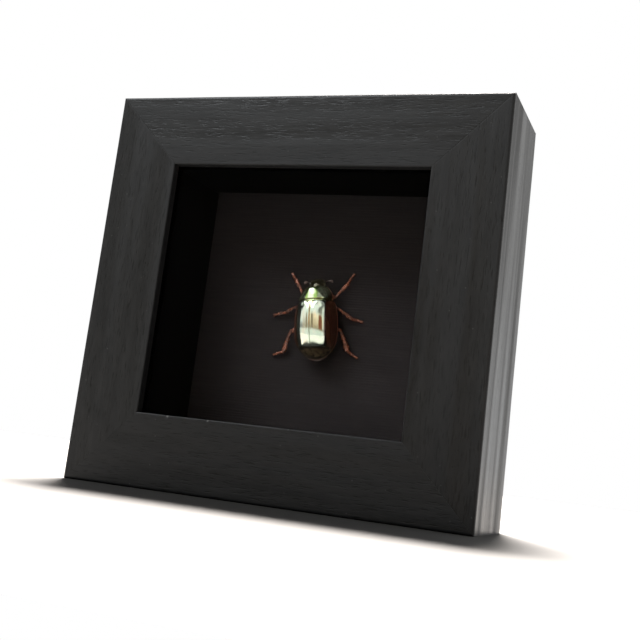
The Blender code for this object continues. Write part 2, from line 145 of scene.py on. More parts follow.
def spread_to(tree, source, low, high):
    """A value from 0 to 1 moved to the span from low to high."""
    return node(tree, "MapRange", {"Value": source, "To Min": low, "To Max": high}).outputs["Result"]


def soft_step(tree, source, start, end):
    """0 before start, 1 past end, and a smooth slope between; end may be the lower one."""
    inputs = {"Value": source, "From Min": start, "From Max": end}
    return node(tree, "MapRange", inputs, interpolation_type="SMOOTHSTEP").outputs["Result"]


def maths(tree, operation, *values):
    """One sum on the nodes. Each value is a number or a socket, and operation is the Math node's own word."""
    return node(tree, "Math", dict(enumerate(values)), operation=operation).outputs[0]


def times(tree, first, second):
    return maths(tree, "MULTIPLY", first, second)


def mixed(tree, share, first, second):
    """The first colour where share is 0, the second where it is 1."""
    made = node(tree, "Mix", data_type="RGBA")
    for socket, value in ((made.inputs[0], share), (made.inputs[6], first), (made.inputs[7], second)):
        if isinstance(value, bpy.types.NodeSocket):
            tree.links.new(value, socket)
        else:
            socket.default_value = value if isinstance(value, float) else (*value, 1.0)
    return made.outputs[2]


def bumps(tree, shader, *layers):
    """Stacks bump layers, each (height source, depth in metres, strength), onto the shader's normal."""
    normal = None
    for height, depth, strength in layers:
        inputs = {"Height": height, "Distance": depth, "Strength": strength}
        if normal is not None:
            inputs["Normal"] = normal
        normal = node(tree, "Bump", inputs).outputs["Normal"]
    tree.links.new(normal, shader.inputs["Normal"])


# %% [markdown]
# ## The room
#
# A polished wing case shows a small picture of the place it stands in: window light to the left and the
# right, a warm wall at eye level between them, a brown upright beside it, dim corners, a white table. No
# paint gives that look; the case needs the room itself to mirror. So the room is painted on the world by
# direction. Height is the upward part of a direction, and bearing its angle round from straight ahead.
# The camera itself sees plain white behind the object, and so do the other views.
#
# A room bright enough for mirrors would fill every shadow with grey. Rays that come from a matt surface
# therefore see it dimmed to a small share, and lamps do the work there.


# %% Colours of the room
OVERHEAD_LIGHT, SIDE_LIGHT, WINDOW_LIGHT = (0.35, 0.35, 0.36), (0.32, 0.32, 0.33), (1.05, 1.06, 1.03)
BACK_DIM, BACK_BRIGHT, BACK_HORIZON = (0.45, 0.45, 0.455), (1.45, 1.45, 1.43), (1.5, 1.52, 1.53)
TABLE_AHEAD = (0.95, 0.97, 0.92)
WALL_LOW, WALL_HIGH = (0.42, 0.31, 0.19), (1.2, 0.97, 0.70)
NEAR_WALL_LOW, NEAR_WALL_HIGH = (0.48, 0.44, 0.35), (1.0, 1.0, 0.96)
BROWN_CURTAIN, SHADED_CORNER, DARK_CORNER = (0.26, 0.06, 0.012), (0.30, 0.22, 0.13), (0.2, 0.2, 0.18)
SOFT_SHARE = 0.05

# %% Directions in the room
world = bpy.data.worlds.new("room")
scene.world = world
world.use_nodes = True
tree = world.node_tree
tree.nodes.clear()
way = node(tree, "SeparateXYZ", {"Vector": node(tree, "TexCoord").outputs["Generated"]})
height = way.outputs["Z"]
to_front = times(tree, way.outputs["Y"], -1.0)
bearing = maths(tree, "ARCTAN2", way.outputs["X"], to_front)


def patch_of(middle, reach, fade, bottom, top, top_fade):
    """1 inside a patch of directions: within reach degrees of the middle bearing, and from bottom to top."""
    aside = maths(tree, "ABSOLUTE", maths(tree, "ADD", bearing, radians(-middle)))
    inside = soft_step(tree, aside, radians(reach + fade), radians(reach))
    above = soft_step(tree, height, bottom - 0.05, bottom)
    return times(tree, times(tree, inside, above), soft_step(tree, height, top + top_fade, top))


# %% Paint the room
back = mixed(tree, soft_step(tree, way.outputs["X"], -0.2, 0.6), BACK_DIM, BACK_BRIGHT)
back = mixed(tree, times(tree, soft_step(tree, height, 0.25, 0.0), 0.6), back, BACK_HORIZON)
room = mixed(tree, soft_step(tree, to_front, -0.35, 0.45), back, SIDE_LIGHT)
room = mixed(tree, soft_step(tree, height, 0.75, 0.95), room, OVERHEAD_LIGHT)

rise = soft_step(tree, height, -0.02, 0.3)
far_wall = mixed(tree, rise, WALL_LOW, WALL_HIGH)
near_wall = mixed(tree, rise, NEAR_WALL_LOW, NEAR_WALL_HIGH)
wall = mixed(tree, soft_step(tree, bearing, radians(-14.0), radians(-30.0)), far_wall, near_wall)

PATCHES = (
    ((-24.0, 36.0, 8.0, 0.1, 0.84, 0.1), WINDOW_LIGHT),
    ((36.0, 26.0, 8.0, 0.1, 0.42, 0.04), WINDOW_LIGHT),
    ((24.0, 13.0, 5.0, 0.41, 0.66, 0.05), DARK_CORNER),
    ((0.0, 38.0, 14.0, 0.0, 0.28, 0.14), wall),
    ((27.0, 9.0, 4.0, 0.06, 0.32, 0.08), BROWN_CURTAIN),
    ((-20.0, 6.0, 10.0, 0.02, 0.27, 0.1), SHADED_CORNER),
)
for patch, colour in PATCHES:
    room = mixed(tree, patch_of(*patch), room, colour)
below = times(tree, soft_step(tree, height, 0.0, -0.03), soft_step(tree, to_front, 0.0, 0.3))
room = mixed(tree, below, room, TABLE_AHEAD)
seen = node(tree, "Background", {"Color": (1.0, 1.0, 1.0, 1.0), "Strength": 1.0})
ray = node(tree, "LightPath")
strength = spread_to(tree, ray.outputs["Is Diffuse Ray"], 1.0, SOFT_SHARE)
lighting = node(tree, "Background", {"Color": room, "Strength": strength})
both = node(tree, "MixShader", {0: ray.outputs["Is Camera Ray"], 1: lighting.outputs[0], 2: seen.outputs[0]})
node(tree, "OutputWorld", {"Surface": both.outputs[0]})
print("room painted in", len(PATCHES), "patches")

# %% [markdown]
# ## Three soft lamps and the table
#
# A window lamp to the upper left gives the paper its slow fade from dark to less dark, because the deep
# rails shade its top and left. A wide lamp stands high behind, so the frame throws a soft shadow forward.
# Area lights are the natural choice: their size is their softness.
#
# The shadow under the frame is nearly black, yet the table round it is white. White card would catch too
# much of the room in its own shadow, so the table is a mid grey with a third lamp that lights it alone.
# Light linking names what a lamp may reach, and it also keeps the window lamp from filling that shadow.


# %% Hang the lamps
WINDOW_AT, HIGH_BEHIND = (-0.34, -0.46, 0.62), (-0.31, 0.80, 2.0)
CASE_MIDDLE, TABLE_MIDDLE = (0.0, 0.0, 0.06), (0.0, 0.0, 0.0)


def soft_light(name, at, aim, size, power, colour):
    """A rectangular area light at a place in metres, turned to face aim."""
    lamp = bpy.data.lights.new(name, "AREA")
    lamp.shape = "RECTANGLE"
    lamp.size, lamp.size_y = size
    lamp.energy = power
    lamp.color = colour
    made = bpy.data.objects.new(name, lamp)
    made.location = at
    made.rotation_euler = (Vector(aim) - Vector(at)).to_track_quat("-Z", "Y").to_euler()
    scene.collection.objects.link(made)
    return made


window_lamp = soft_light("window", WINDOW_AT, CASE_MIDDLE, (0.4, 0.3), 4.2, (0.95, 1.0, 1.05))
soft_light("overhead", HIGH_BEHIND, TABLE_MIDDLE, (0.5, 0.5), 70.0, (1.0, 0.94, 0.89))
table_lamp = soft_light("over_table", HIGH_BEHIND, TABLE_MIDDLE, (0.5, 0.5), 245.0, (1.0, 0.93, 0.87))

# %% Lay the table
TABLE_HALF, TABLE_FRONT = 0.6, -0.2
corners = [(-TABLE_HALF, TABLE_FRONT), (TABLE_HALF, TABLE_FRONT), (TABLE_HALF, TABLE_HALF), (-TABLE_HALF, TABLE_HALF)]
sheet = bpy.data.meshes.new("table")
sheet.from_pydata([(x, y, 0) for x, y in corners], [], [(0, 1, 2, 3)])
table = bpy.data.objects.new("table", sheet)
scene.collection.objects.link(table)
card, tree, shader = new_finish("table_card", Roughness=0.75, Specular_IOR_Level=0.2)
cloud = noise(tree, object_places(tree), 6.0, 3.0)
tone = ramp(tree, cloud, (0.3, (0.25, 0.25, 0.25)), (0.7, (0.262, 0.261, 0.259)))
tree.links.new(tone, shader.inputs["Base Color"])
sheet.materials.append(card)
for lamp, state in ((window_lamp, "EXCLUDE"), (table_lamp, "INCLUDE")):
    only_table = bpy.data.collections.new(f"table_for_{lamp.name}")
    only_table.objects.link(table)
    lamp.light_linking.receiver_collection = only_table
    only_table.collection_objects[0].light_linking.link_state = state

# %% [markdown]
# ## Skins from rings
#
# Nearly everything here is one idea: a ring of points carried along a path. Ring after ring makes a grid,
# a grid makes quads, and each end closes. Numpy works out all points of a piece at once, and the mesh only
# receives the result. Thin things such as a wing case are two grids, an outer and an inner one, sewn
# together round their four edges.


# %% Helpers for meshes
def grid_quads(rows, columns, closed=False):
    """Quads between neighbours in a grid of points numbered row by row; closed joins each row's ends."""
    row = np.arange(rows - 1)[:, None] * columns
    column = np.arange(columns if closed else columns - 1)[None, :]
    beside = (column + 1) % columns
    quads = np.stack([row + column, row + beside, row + columns + beside, row + columns + column], -1)
    return quads.reshape(-1, 4)


def closed_skin(rings, flat_ends=False):
    """A skin over rings (rings x points x 3). Each end is a fan to the ring's middle, or one flat face."""
    rows, columns = rings.shape[:2]
    points = rings.reshape(-1, 3)
    faces = grid_quads(rows, columns, closed=True).tolist()
    around = np.arange(columns)
    beside = (around + 1) % columns
    last = (rows - 1) * columns
    if flat_ends:
        faces += [around[::-1].tolist(), (last + around).tolist()]
    else:
        points = np.concatenate([points, [rings[0].mean(0)], [rings[-1].mean(0)]])
        faces += np.stack([beside, around, np.full(columns, rows * columns)], -1).tolist()
        faces += np.stack([last + around, last + beside, np.full(columns, rows * columns + 1)], -1).tolist()
    return points, faces


def shell(outer, inner):
    """A thin closed wall between two grids of the same size, sewn together along their four edges."""
    rows, columns = outer.shape[:2]
    count = rows * columns
    quads = grid_quads(rows, columns)
    sewn = [quads, quads[:, ::-1] + count]
    number = np.arange(count).reshape(rows, columns)
    for edge in (number[0], number[:, -1], number[-1, ::-1], number[::-1, 0]):
        sewn.append(np.stack([edge[1:], edge[:-1], edge[:-1] + count, edge[1:] + count], -1))
    return np.concatenate([outer.reshape(-1, 3), inner.reshape(-1, 3)]), np.concatenate(sewn).tolist()


def facing_out(points, faces):
    """The faces, turned if their normals, measured from the middle of the piece, point inwards on the whole."""
    quads = np.array([face for face in faces if len(face) == 4])
    a, b, c, d = (points[quads[:, i]] for i in range(4))
    normals = np.cross(c - a, d - b)
    outward = ((a + b + c + d) / 4 - points.mean(0)) * normals
    return faces if outward.sum() > 0 else [face[::-1] for face in faces]


def make_piece(name, skins, finish, stands_for, sharp=None, body_mm=None, rim=None):
    """One object from closed skins in world metres. It rides on the frame and hides its CAD nodes."""
    points, faces, start = [], [], 0
    for skin_points, skin_faces in skins:
        faces += [[corner + start for corner in face] for face in facing_out(skin_points, skin_faces)]
        points.append(skin_points)
        start += len(skin_points)
    points = np.concatenate(points)
    mesh = bpy.data.meshes.new(name)
    mesh.from_pydata(points.tolist(), [], faces)
    mesh.shade_smooth()
    if sharp is not None:
        mesh.set_sharp_from_angle(angle=radians(sharp))
    if body_mm is not None:
        mesh.attributes.new("body_mm", "FLOAT_VECTOR", "POINT").data.foreach_set("vector", body_mm.ravel())
    # The rim attribute marks beads that the finishes paint lighter, partly as a painted highlight.
    if rim is not None:
        mesh.attributes.new("rim", "FLOAT", "POINT").data.foreach_set("value", rim.ravel())
    mesh.materials.append(finish)
    made = bpy.data.objects.new(name, mesh)
    scene.collection.objects.link(made)
    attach(made, "root")
    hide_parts(*stands_for)
    print(f"{name}: {len(faces)} faces")
    return made


def repaint(names, finish):
    """Gives CAD nodes, whose shape is right as it is, their real finish."""
    for name in names:
        for place in nodes[name].material_slots:
            place.material = finish


# %% [markdown]
# ## Black painted wood
#
# The rails are coarse timber under one thin coat of satin black. Paint that thin follows the grain: shallow
# furrows, short open pores, and broad soft streaks where it dried more or less glossy. Colour alone would
# look like plastic, so the grain is mostly relief and roughness, drawn out along the rail. Where light
# skims a surface, roughness shows far more than colour does, so one and the same paint looks streaked on
# the outer side and nearly plain on the face. A few pale specks and worn spots break the black.


# %% Mix the paint
PAINT_DARK, PAINT_LIGHT = (0.0096, 0.0100, 0.0106), (0.0150, 0.0153, 0.0156)
FURROW_TONE, PORE_TONE = (0.0235, 0.0233, 0.023), (0.004, 0.004, 0.004)
SPECK_TONE, WORN_TONE = (0.07, 0.07, 0.068), (0.32, 0.31, 0.28)


def black_paint(name, along, worn=()):
    """Satin black on open grain along axis 0 for X or 2 for Z, thin at the worn spots, each (place, reach)."""
    finish, tree, shader = new_finish(name, Specular_IOR_Level=0.22)
    place = object_places(tree)

    def grain(across, lengthwise):
        scale = [across] * 3
        scale[along] = lengthwise
        return stretched(tree, place, scale)

    furrows = noise(tree, grain(750.0, 130.0), detail=5.0, roughness=0.62, distortion=0.4)
    pores = noise(tree, grain(2600.0, 300.0), detail=2.0)
    broad = noise(tree, grain(150.0, 6.0), detail=3.0)
    patches = noise(tree, grain(240.0, 70.0), detail=2.0)
    speckle = noise(tree, place, 2600.0, 3.0)
    pits = ramp(tree, pores, (0.30, 0.0), (0.44, 1.0))
    tone = ramp(tree, patches, (0.30, PAINT_DARK), (0.72, PAINT_LIGHT))
    tone = mixed(tree, ramp(tree, furrows, (0.35, 0.0), (0.75, 0.7)), tone, FURROW_TONE)
    tone = mixed(tree, pits, PORE_TONE, tone)
    cells = node(tree, "TexVoronoi", {"Vector": place, "Scale": 260.0}).outputs["Distance"]
    tone = mixed(tree, ramp(tree, cells, (0.03, 0.6), (0.07, 0.0)), tone, SPECK_TONE)
    for spot, reach in worn:
        away = node(tree, "VectorMath", {0: place, 1: spot}, operation="DISTANCE").outputs["Value"]
        span = {"Value": away, "From Min": reach, "From Max": 0.4 * reach}
        near = node(tree, "MapRange", span).outputs["Result"]
        tone = mixed(tree, near, tone, WORN_TONE)
    tree.links.new(tone, shader.inputs["Base Color"])
    streaks = ramp(tree, broad, (0.36, 0.30), (0.5, 0.40), (0.64, 0.56))
    rough = maths(tree, "ADD", streaks, spread_to(tree, speckle, -0.08, 0.08))
    tree.links.new(rough, shader.inputs["Roughness"])
    bumps(tree, shader, (broad, 0.0006, 0.3), (furrows, 0.0001, 0.4), (pits, 0.00005, 0.5), (speckle, 0.00002, 0.4))
    return finish


# %% [markdown]
# ## The four rails
#
# A picture-frame moulding is one section carried along a length and cut at 45 degrees. The section here has
# a flat face, a thin lip that holds the pane, and a deep rabbet behind it. Milled edges are never sharp, so
# each corner of the section is a small curve. The wood is slightly uneven, and where two mitres meet, the
# paint sinks into the joint: both are moved in the surface itself, along the section's normals. Three
# small chips sit on the lower sight edge, each (place along the rail, reach), and the paint is worn there.

# %% Sizes of the moulding, in metres
WIDTH, HEIGHT, DEPTH = 127.0 * MM, 121.5 * MM, 35.0 * MM
FRONT = -DEPTH / 2
RAIL = 22.2 * MM
PANE_EDGE = 16.2 * MM
LIP = 3.0 * MM
MITRE_SINK = 0.015 * MM
MITRE_REACH = 0.12 * MM
UNEVEN = 0.035 * MM
SIGHT_CHIPS = ((-31.0 * MM, 0.55 * MM), (-17.5 * MM, 0.45 * MM), (8.0 * MM, 0.3 * MM))
SIGHT_EDGE = (FRONT + 0.1 * MM, RAIL - 0.1 * MM)

worn = [((along, *SIGHT_EDGE), reach) for along, reach in SIGHT_CHIPS]
paint_level = black_paint("black_wood_level", 0, worn)
paint_upright = black_paint("black_wood_upright", 2)


def moulding_section():
    """The section as (inward, back) points. Each corner is a parabola between the two edges it joins."""
    corners = np.array([(0, 0), (RAIL, 0), (RAIL, LIP), (PANE_EDGE, LIP), (PANE_EDGE, DEPTH), (0, DEPTH)])
    rounds = np.array([0.9, 0.5, 0.3, 0.2, 0.4, 0.4]) * MM
    outline = []
    for i, (corner, reach) in enumerate(zip(corners, rounds)):
        before, after = corners[i - 1], corners[(i + 1) % len(corners)]
        start = corner + (before - corner) / np.linalg.norm(before - corner) * reach
        end = corner + (after - corner) / np.linalg.norm(after - corner) * reach
        bend = np.linspace(0, 1, 9)[:, None]
        outline.append((1 - bend) ** 2 * start + 2 * bend * (1 - bend) * corner + bend**2 * end)
        far = after + (corner - after) / np.linalg.norm(corner - after) * rounds[(i + 1) % len(corners)]
        length = np.linalg.norm(far - end)
        margin = 0.15 * MM / length
        stops = np.linspace(margin, 1 - margin, max(2, int(length / (0.9 * MM))))[:, None]
        outline.append(end + (far - end) * stops)
    return np.concatenate(outline)


def waves(points, seed, lengths, count=7):
    """Soft unevenness between about -1 and 1: a sum of sine waves with seeded directions, sizes and phases."""
    luck = np.random.default_rng(seed)
    total = np.zeros(points.shape[:-1])
    for _ in range(count):
        direction = luck.normal(size=3) / np.array(lengths)
        total += np.sin(points @ direction * 2 * np.pi + luck.uniform(0, 2 * np.pi))
    return total / count**0.5 / 1.4


print("moulding section:", len(moulding_section()), "points")


# %% [markdown]
# A point of a rail is found from three numbers: how far inward from the outer edge, how far back from the
# face, and a share s of the way from one mitre to the other. At s = 1 the point lies on the mitre, so the
# length at each inward distance is half the outer length less that distance.


# %% Cut the rails
def rail_skin(length, place, grain_axis, seed, chips=()):
    """Rings of the section at shares s from mitre to mitre: along = s * (length / 2 - inward)."""
    section = moulding_section()
    edge = np.array([0.0, 0.0006, 0.0013, 0.0021, 0.003, 0.0045, 0.007, 0.012, 0.022])
    shares = np.concatenate([edge - 1, np.linspace(-0.965, 0.965, 150), 1 - edge])
    for chip, _ in chips:
        shares = np.concatenate([shares, chip / (length / 2 - RAIL) + np.linspace(-0.03, 0.03, 21)])
    shares = np.unique(shares)
    inward, back = section[:, 0], section[:, 1]
    along = shares[:, None] * (length / 2 - 0.01 * MM - inward)[None, :]
    tangent = np.roll(section, -1, 0) - np.roll(section, 1, 0)
    normal = np.stack([tangent[:, 1], -tangent[:, 0]], -1)
    normal /= np.linalg.norm(normal, axis=1, keepdims=True)
    x, z = place(along, np.broadcast_to(inward, along.shape))
    flat = np.stack([x, np.broadcast_to(FRONT + back, along.shape), z], -1)
    size = [11 * MM] * 3
    size[grain_axis] = 70 * MM
    gap = (1 - np.abs(shares))[:, None] * (length / 2 - inward)[None, :] / 2**0.5
    move = UNEVEN * (waves(flat, seed, size) - 1.0) - MITRE_SINK * np.exp(-((gap / MITRE_REACH) ** 2))
    for chip, reach in chips:
        away = np.hypot(along - chip, 1.2 * np.hypot(inward - RAIL, back)[None, :])
        move -= 0.75 * reach * np.exp(-((away / reach) ** 2))
    inward = inward + normal[:, 0] * move
    x, z = place(along, inward)
    rings = np.stack([x, FRONT + back + normal[:, 1] * move, z], -1)
    return closed_skin(rings, flat_ends=True)


MIDDLE = HEIGHT / 2
RAILS = {
    "rail_bottom": (WIDTH, lambda along, inward: (along, inward), 0, SIGHT_CHIPS),
    "rail_top": (WIDTH, lambda along, inward: (along, HEIGHT - inward), 0, ()),
    "rail_left": (HEIGHT, lambda along, inward: (-WIDTH / 2 + inward, MIDDLE + along), 2, ()),
    "rail_right": (HEIGHT, lambda along, inward: (WIDTH / 2 - inward, MIDDLE + along), 2, ()),
}
for seed, (name, (length, place, axis, chips)) in enumerate(RAILS.items()):
    skin = rail_skin(length, place, axis, seed + 3, chips)
    make_piece(name, [skin], paint_upright if axis else paint_level, ["frame_" + name], sharp=50)

# %% [markdown]
# ## The pane and the black strips
#
# Clear glass is a Principled shader with full transmission. This pane hardly mirrors, as picture glass with
# a coating doesn't, and its low index stands for that coating. Lamps have to reach the beetle through it,
# and a path tracer treats glass as an obstacle to shadow rays, so the shadow rays alone see a transparent
# shader. The strips in the rabbet are matte black, and their colour is far darker than black paint: it also
# holds painted shade, so that the case looks bottomless at its sides.

# %% Glass and strips
glass, tree, shader = new_finish(
    "clear_glass", Base_Color=(1, 1, 1, 1), Roughness=0.0, IOR=1.06, Transmission_Weight=1.0
)
clear = node(tree, "BsdfTransparent", {"Color": (0.97, 0.98, 0.975, 1.0)})
shade = node(tree, "LightPath").outputs["Is Shadow Ray"]
choice = node(tree, "MixShader", {0: shade, 1: shader.outputs[0], 2: clear.outputs[0]})
tree.links.new(choice.outputs[0], tree.nodes["Material Output"].inputs["Surface"])
repaint(["glass_pane"], glass)

# The strips' tone is black paint darkened further: painted shade of the deep case sides.
strip, tree, shader = new_finish("black_strip", Roughness=0.9, Specular_IOR_Level=0.04)
place = object_places(tree)
fibre = noise(tree, stretched(tree, place, (400.0, 90.0, 400.0)), detail=3.0)
tree.links.new(ramp(tree, fibre, (0.3, 0.0006), (0.7, 0.0012)), shader.inputs["Base Color"])
bumps(tree, shader, (fibre, 0.0001, 0.3))
repaint(["spacer_top", "spacer_bottom", "spacer_left", "spacer_right"], strip)

# %% [markdown]
# ## The ribbed paper
#
# The backing is a dark laid paper: fine ribs across, a little under a millimetre apart, each one wandering
# slightly, with a fainter thread crossing them. The ribs are modelled, because light from the side of the
# case rakes over them; the felt-like surface between is left to the material.


# %% Lay the paper
PAPER_FACE = 31.5 * MM
PAPER_THICK = 0.3 * MM
PAPER_INSET = 0.3 * MM
PAPER_DARK, PAPER_LIGHT, PAPER_FELT = (0.0128, 0.0112, 0.0115), (0.0190, 0.0166, 0.0168), (0.0255, 0.0225, 0.0222)
RIB_PITCH = 0.82 * MM
RIB_HIGH = 0.035 * MM
side = WIDTH / 2 - PANE_EDGE - PAPER_INSET
low, high = PANE_EDGE + PAPER_INSET, HEIGHT - PANE_EDGE - PAPER_INSET
x, z = np.meshgrid(np.linspace(-side, side, 118), np.linspace(low, high, 415))
flat = np.stack([x, np.zeros_like(x), z], -1)
wander = 0.16 * waves(flat, 21, (30 * MM, MM, 5 * MM)) + 0.1 * waves(flat, 22, (90 * MM, MM, 12 * MM))
ribs = np.cos(2 * np.pi * (z / RIB_PITCH + wander)) * (0.7 + 0.3 * waves(flat, 23, (9 * MM, MM, 2.5 * MM)))
threads = waves(flat, 24, (1.6 * MM, MM, 60 * MM))
relief = RIB_HIGH * (0.5 + 0.5 * ribs) + 0.012 * MM * (1 + threads)
face = np.stack([x, FRONT + PAPER_FACE + 0.06 * MM - relief, z], -1)
rear = np.stack([x, np.full_like(x, FRONT + PAPER_FACE + PAPER_THICK), z], -1)

paper, tree, shader = new_finish("dark_paper", Roughness=0.88, Specular_IOR_Level=0.06)
place = object_places(tree)
felt = noise(tree, place, 3000.0, 3.0)
laid = noise(tree, stretched(tree, place, (60.0, 1.0, 1500.0)), detail=3.0)
tone = ramp(tree, laid, (0.3, PAPER_DARK), (0.7, PAPER_LIGHT))
tone = mixed(tree, ramp(tree, felt, (0.45, 0.0), (0.8, 0.35)), tone, PAPER_FELT)
tree.links.new(tone, shader.inputs["Base Color"])
bumps(tree, shader, (laid, 0.00005, 0.4), (felt, 0.00003, 0.5))
make_piece("ribbed_paper", [shell(face, rear)], paper, ["backing_paper"])

# %% [markdown]
# ## The back
#
# Behind the paper lies a thin hardboard, its rough side out: brown pressed fibre with the print of the
# wire screen it was pressed on. Flat zinc points hold it, and a toothed hanger hangs it. These shapes are
# right in the model already, so they only need their finish.

# %% Hardboard and zinc
board, tree, shader = new_finish("brown_board", Roughness=0.82, Specular_IOR_Level=0.3)
place = object_places(tree)
fibre = noise(tree, place, 240.0, 6.0, 0.65, 1.2)
fleck = noise(tree, stretched(tree, place, (900.0, 900.0, 500.0)), detail=4.0)
tone = ramp(tree, fibre, (0.28, (0.105, 0.062, 0.034)), (0.5, (0.175, 0.108, 0.062)), (0.74, (0.25, 0.165, 0.1)))
tone = mixed(tree, ramp(tree, fleck, (0.58, 0.0), (0.72, 0.6)), tone, (0.05, 0.03, 0.02))
tree.links.new(tone, shader.inputs["Base Color"])
wires = {"Vector": place, "Scale": 210.0, "Distortion": 0.6, "Detail Scale": 40.0}
weft, warp = (node(tree, "TexWave", wires, bands_direction=axis).outputs["Fac"] for axis in "XZ")
screen = times(tree, weft, warp)
bumps(tree, shader, (screen, 0.0002, 0.7), (fibre, 0.0002, 0.5))
repaint(["backing_board"], board)

zinc, tree, shader = new_finish("zinc_steel", Metallic=1.0)
place = object_places(tree)
spangle = node(tree, "TexVoronoi", {"Vector": place, "Scale": 420.0}).outputs["Color"]
grey = node(tree, "RGBToBW", {"Color": spangle}).outputs["Val"]
rubbed = noise(tree, stretched(tree, place, (90.0, 900.0, 1400.0)), detail=4.0)
tree.links.new(ramp(tree, grey, (0.2, (0.34, 0.345, 0.355)), (0.8, (0.48, 0.485, 0.49))), shader.inputs["Base Color"])
tree.links.new(spread_to(tree, rubbed, 0.22, 0.5), shader.inputs["Roughness"])
bumps(tree, shader, (rubbed, 0.00004, 0.4))
repaint(["board_point_top", "board_point_bottom", "board_point_left", "board_point_right", "sawtooth_hanger"], zinc)
print("back finished")

# %% [markdown]
# ## The beetle's own axes
#
# A pinned beetle is drawn looking straight down on it: x across, y towards the head, z up from the paper,
# in millimetres. One small function turns those axes upright, leans them a little to the left, and sets
# them on the paper. Each piece also keeps its millimetre places as an attribute, so that a pattern such as
# a row of pits can follow the body and not the room.

# %% Place the beetle
LEAN = radians(6.5)
ON_PAPER = np.array([1.15, 14.0, 58.0])
ACROSS = np.array([np.cos(LEAN), 0.0, np.sin(LEAN)])
FORWARD = np.array([-np.sin(LEAN), 0.0, np.cos(LEAN)])
TO_GLASS = np.array([0.0, -1.0, 0.0])


def beetle_piece(name, skins, finish, stands_for, sharp=None, rim=None):
    """A piece whose skins are given on the beetle's axes: world = place + x across + y forward + z up."""
    body_mm = np.concatenate([points for points, _ in skins])
    turned = [(MM * (ON_PAPER + points @ np.stack([ACROSS, FORWARD, TO_GLASS])), faces) for points, faces in skins]
    return make_piece(name, turned, finish, stands_for, sharp, body_mm, rim)


def through(t, at, values):
    """A smooth curve through values at given places: cubic pieces with the mean slope of the neighbours."""
    at, values = np.asarray(at, float), np.asarray(values, float)
    slopes = np.gradient(values, at, axis=0)
    i = np.clip(np.searchsorted(at, t, side="right") - 1, 0, len(at) - 2)
    span = at[i + 1] - at[i]
    s = (t - at[i]) / span
    if values.ndim > 1:
        s, span = s[:, None], span[:, None]
    ends = (1 + 2 * s) * (1 - s) ** 2 * values[i] + s * s * (3 - 2 * s) * values[i + 1]
    return ends + s * (1 - s) * span * ((1 - s) * slopes[i] - s * slopes[i + 1])


def bell(distance, width):
    """A smooth bump: 1 at no distance, fading with the square of distance over width."""
    return np.exp(-((distance / width) ** 2))


def rolled_edge(distance, radius):
    """How far a surface sinks near its edge to round it off: a quarter circle of the given radius."""
    inside = np.clip(1 - distance / radius, 0, 1)
    return radius * (1 - np.sqrt(1 - inside**2))


def normals_of(grid, middle, closed=False):
    """Unit normals of a grid of points, away from middle: the cross product of its two ways of travel."""
    if closed:
        across = np.roll(grid, -1, 1) - np.roll(grid, 1, 1)
    else:
        across = np.gradient(grid, axis=1)
    normal = np.cross(across, np.gradient(grid, axis=0))
    length = np.linalg.norm(normal, axis=-1, keepdims=True)
    normal /= np.maximum(length, 1e-9)
    inwards = (normal * (grid - middle)).sum(-1, keepdims=True) < 0
    return np.where(inwards, -normal, normal)


# %% [markdown]
# ## The wing cases
#
# Each wing case is a quarter of a long dome. Its plan follows two power curves, one to the rear and one to
# the shoulder, and its height follows two more. Over that smooth form lies the relief a collector knows it
# by: rows of fine grooves, a raised seam edge, a bead along the margin, a knob at the shoulder and another
# near the tip. A mirror shows the smallest relief, so the numbers are in hundredths of a millimetre. The
# left shoulder is the smoother one here, and each knob has its own height.

# %% Plan and profile of the wing cases, in millimetres
RIM_UP = 3.2
CASE_FRONT, CASE_REAR, CASE_WIDEST = 5.3, -12.9, -3.3
CASE_HALF, SHOULDER_HALF = 7.05, 6.1
BACK_TOP, BACK_TOP_AT, BACK_FRONT = 10.2, -1.5, 9.2
DOME = 0.87
BASE_BOW = 0.6
GROOVE_ROWS, GROOVE_DEEP, SWELL_HIGH = 8.0, 0.009, 0.007
SHOULDER_KNOBS = (0.03, 0.2)


def case_half(along):
    """Half width: a power curve to the rear, a gentler one forward, and a rounded shoulder."""
    rear = np.clip((CASE_WIDEST - along) / (CASE_WIDEST - CASE_REAR), 0, 1)
    front = np.clip((along - CASE_WIDEST) / (5.2 - CASE_WIDEST), 0, None)
    shoulder = np.clip((along - 3.0) / 2.6, 0, 1)
    forward = (CASE_HALF - (CASE_HALF - SHOULDER_HALF) * front**2.2) * (1 - shoulder**3) ** 0.16
    return np.where(along < CASE_WIDEST, CASE_HALF * (1 - rear**2.5) ** (1 / 2.1), forward)


def case_top(along):
    """Height of the back over the rim: highest a little behind the middle, falling faster to the rear."""
    front = np.clip((along - BACK_TOP_AT) / (5.2 - BACK_TOP_AT), 0, None)
    rear = np.clip((BACK_TOP_AT - along) / (BACK_TOP_AT - CASE_REAR), 0, 1)
    forward = BACK_TOP - (BACK_TOP - BACK_FRONT) * front**2 - RIM_UP
    return np.where(along > BACK_TOP_AT, forward, (BACK_TOP - RIM_UP) * np.sqrt(1 - rear**2.6))


def case_bow(along):
    """How far the front edge bows back in the middle, growing towards the front."""
    return BASE_BOW * np.clip((along - 1.5) / 3.7, 0, None)


def seam_half(along):
    """Half the opening along the middle: a hair, spreading in front to make room for the scutellum."""
    return 0.03 + 0.75 * np.clip(along - 3.5, 0, None)


# %% [markdown]
# The relief is a height over the smooth dome, added along its normals. Distances along the surface are
# summed from the margin and from the seam, so beads keep their width while the body narrows.


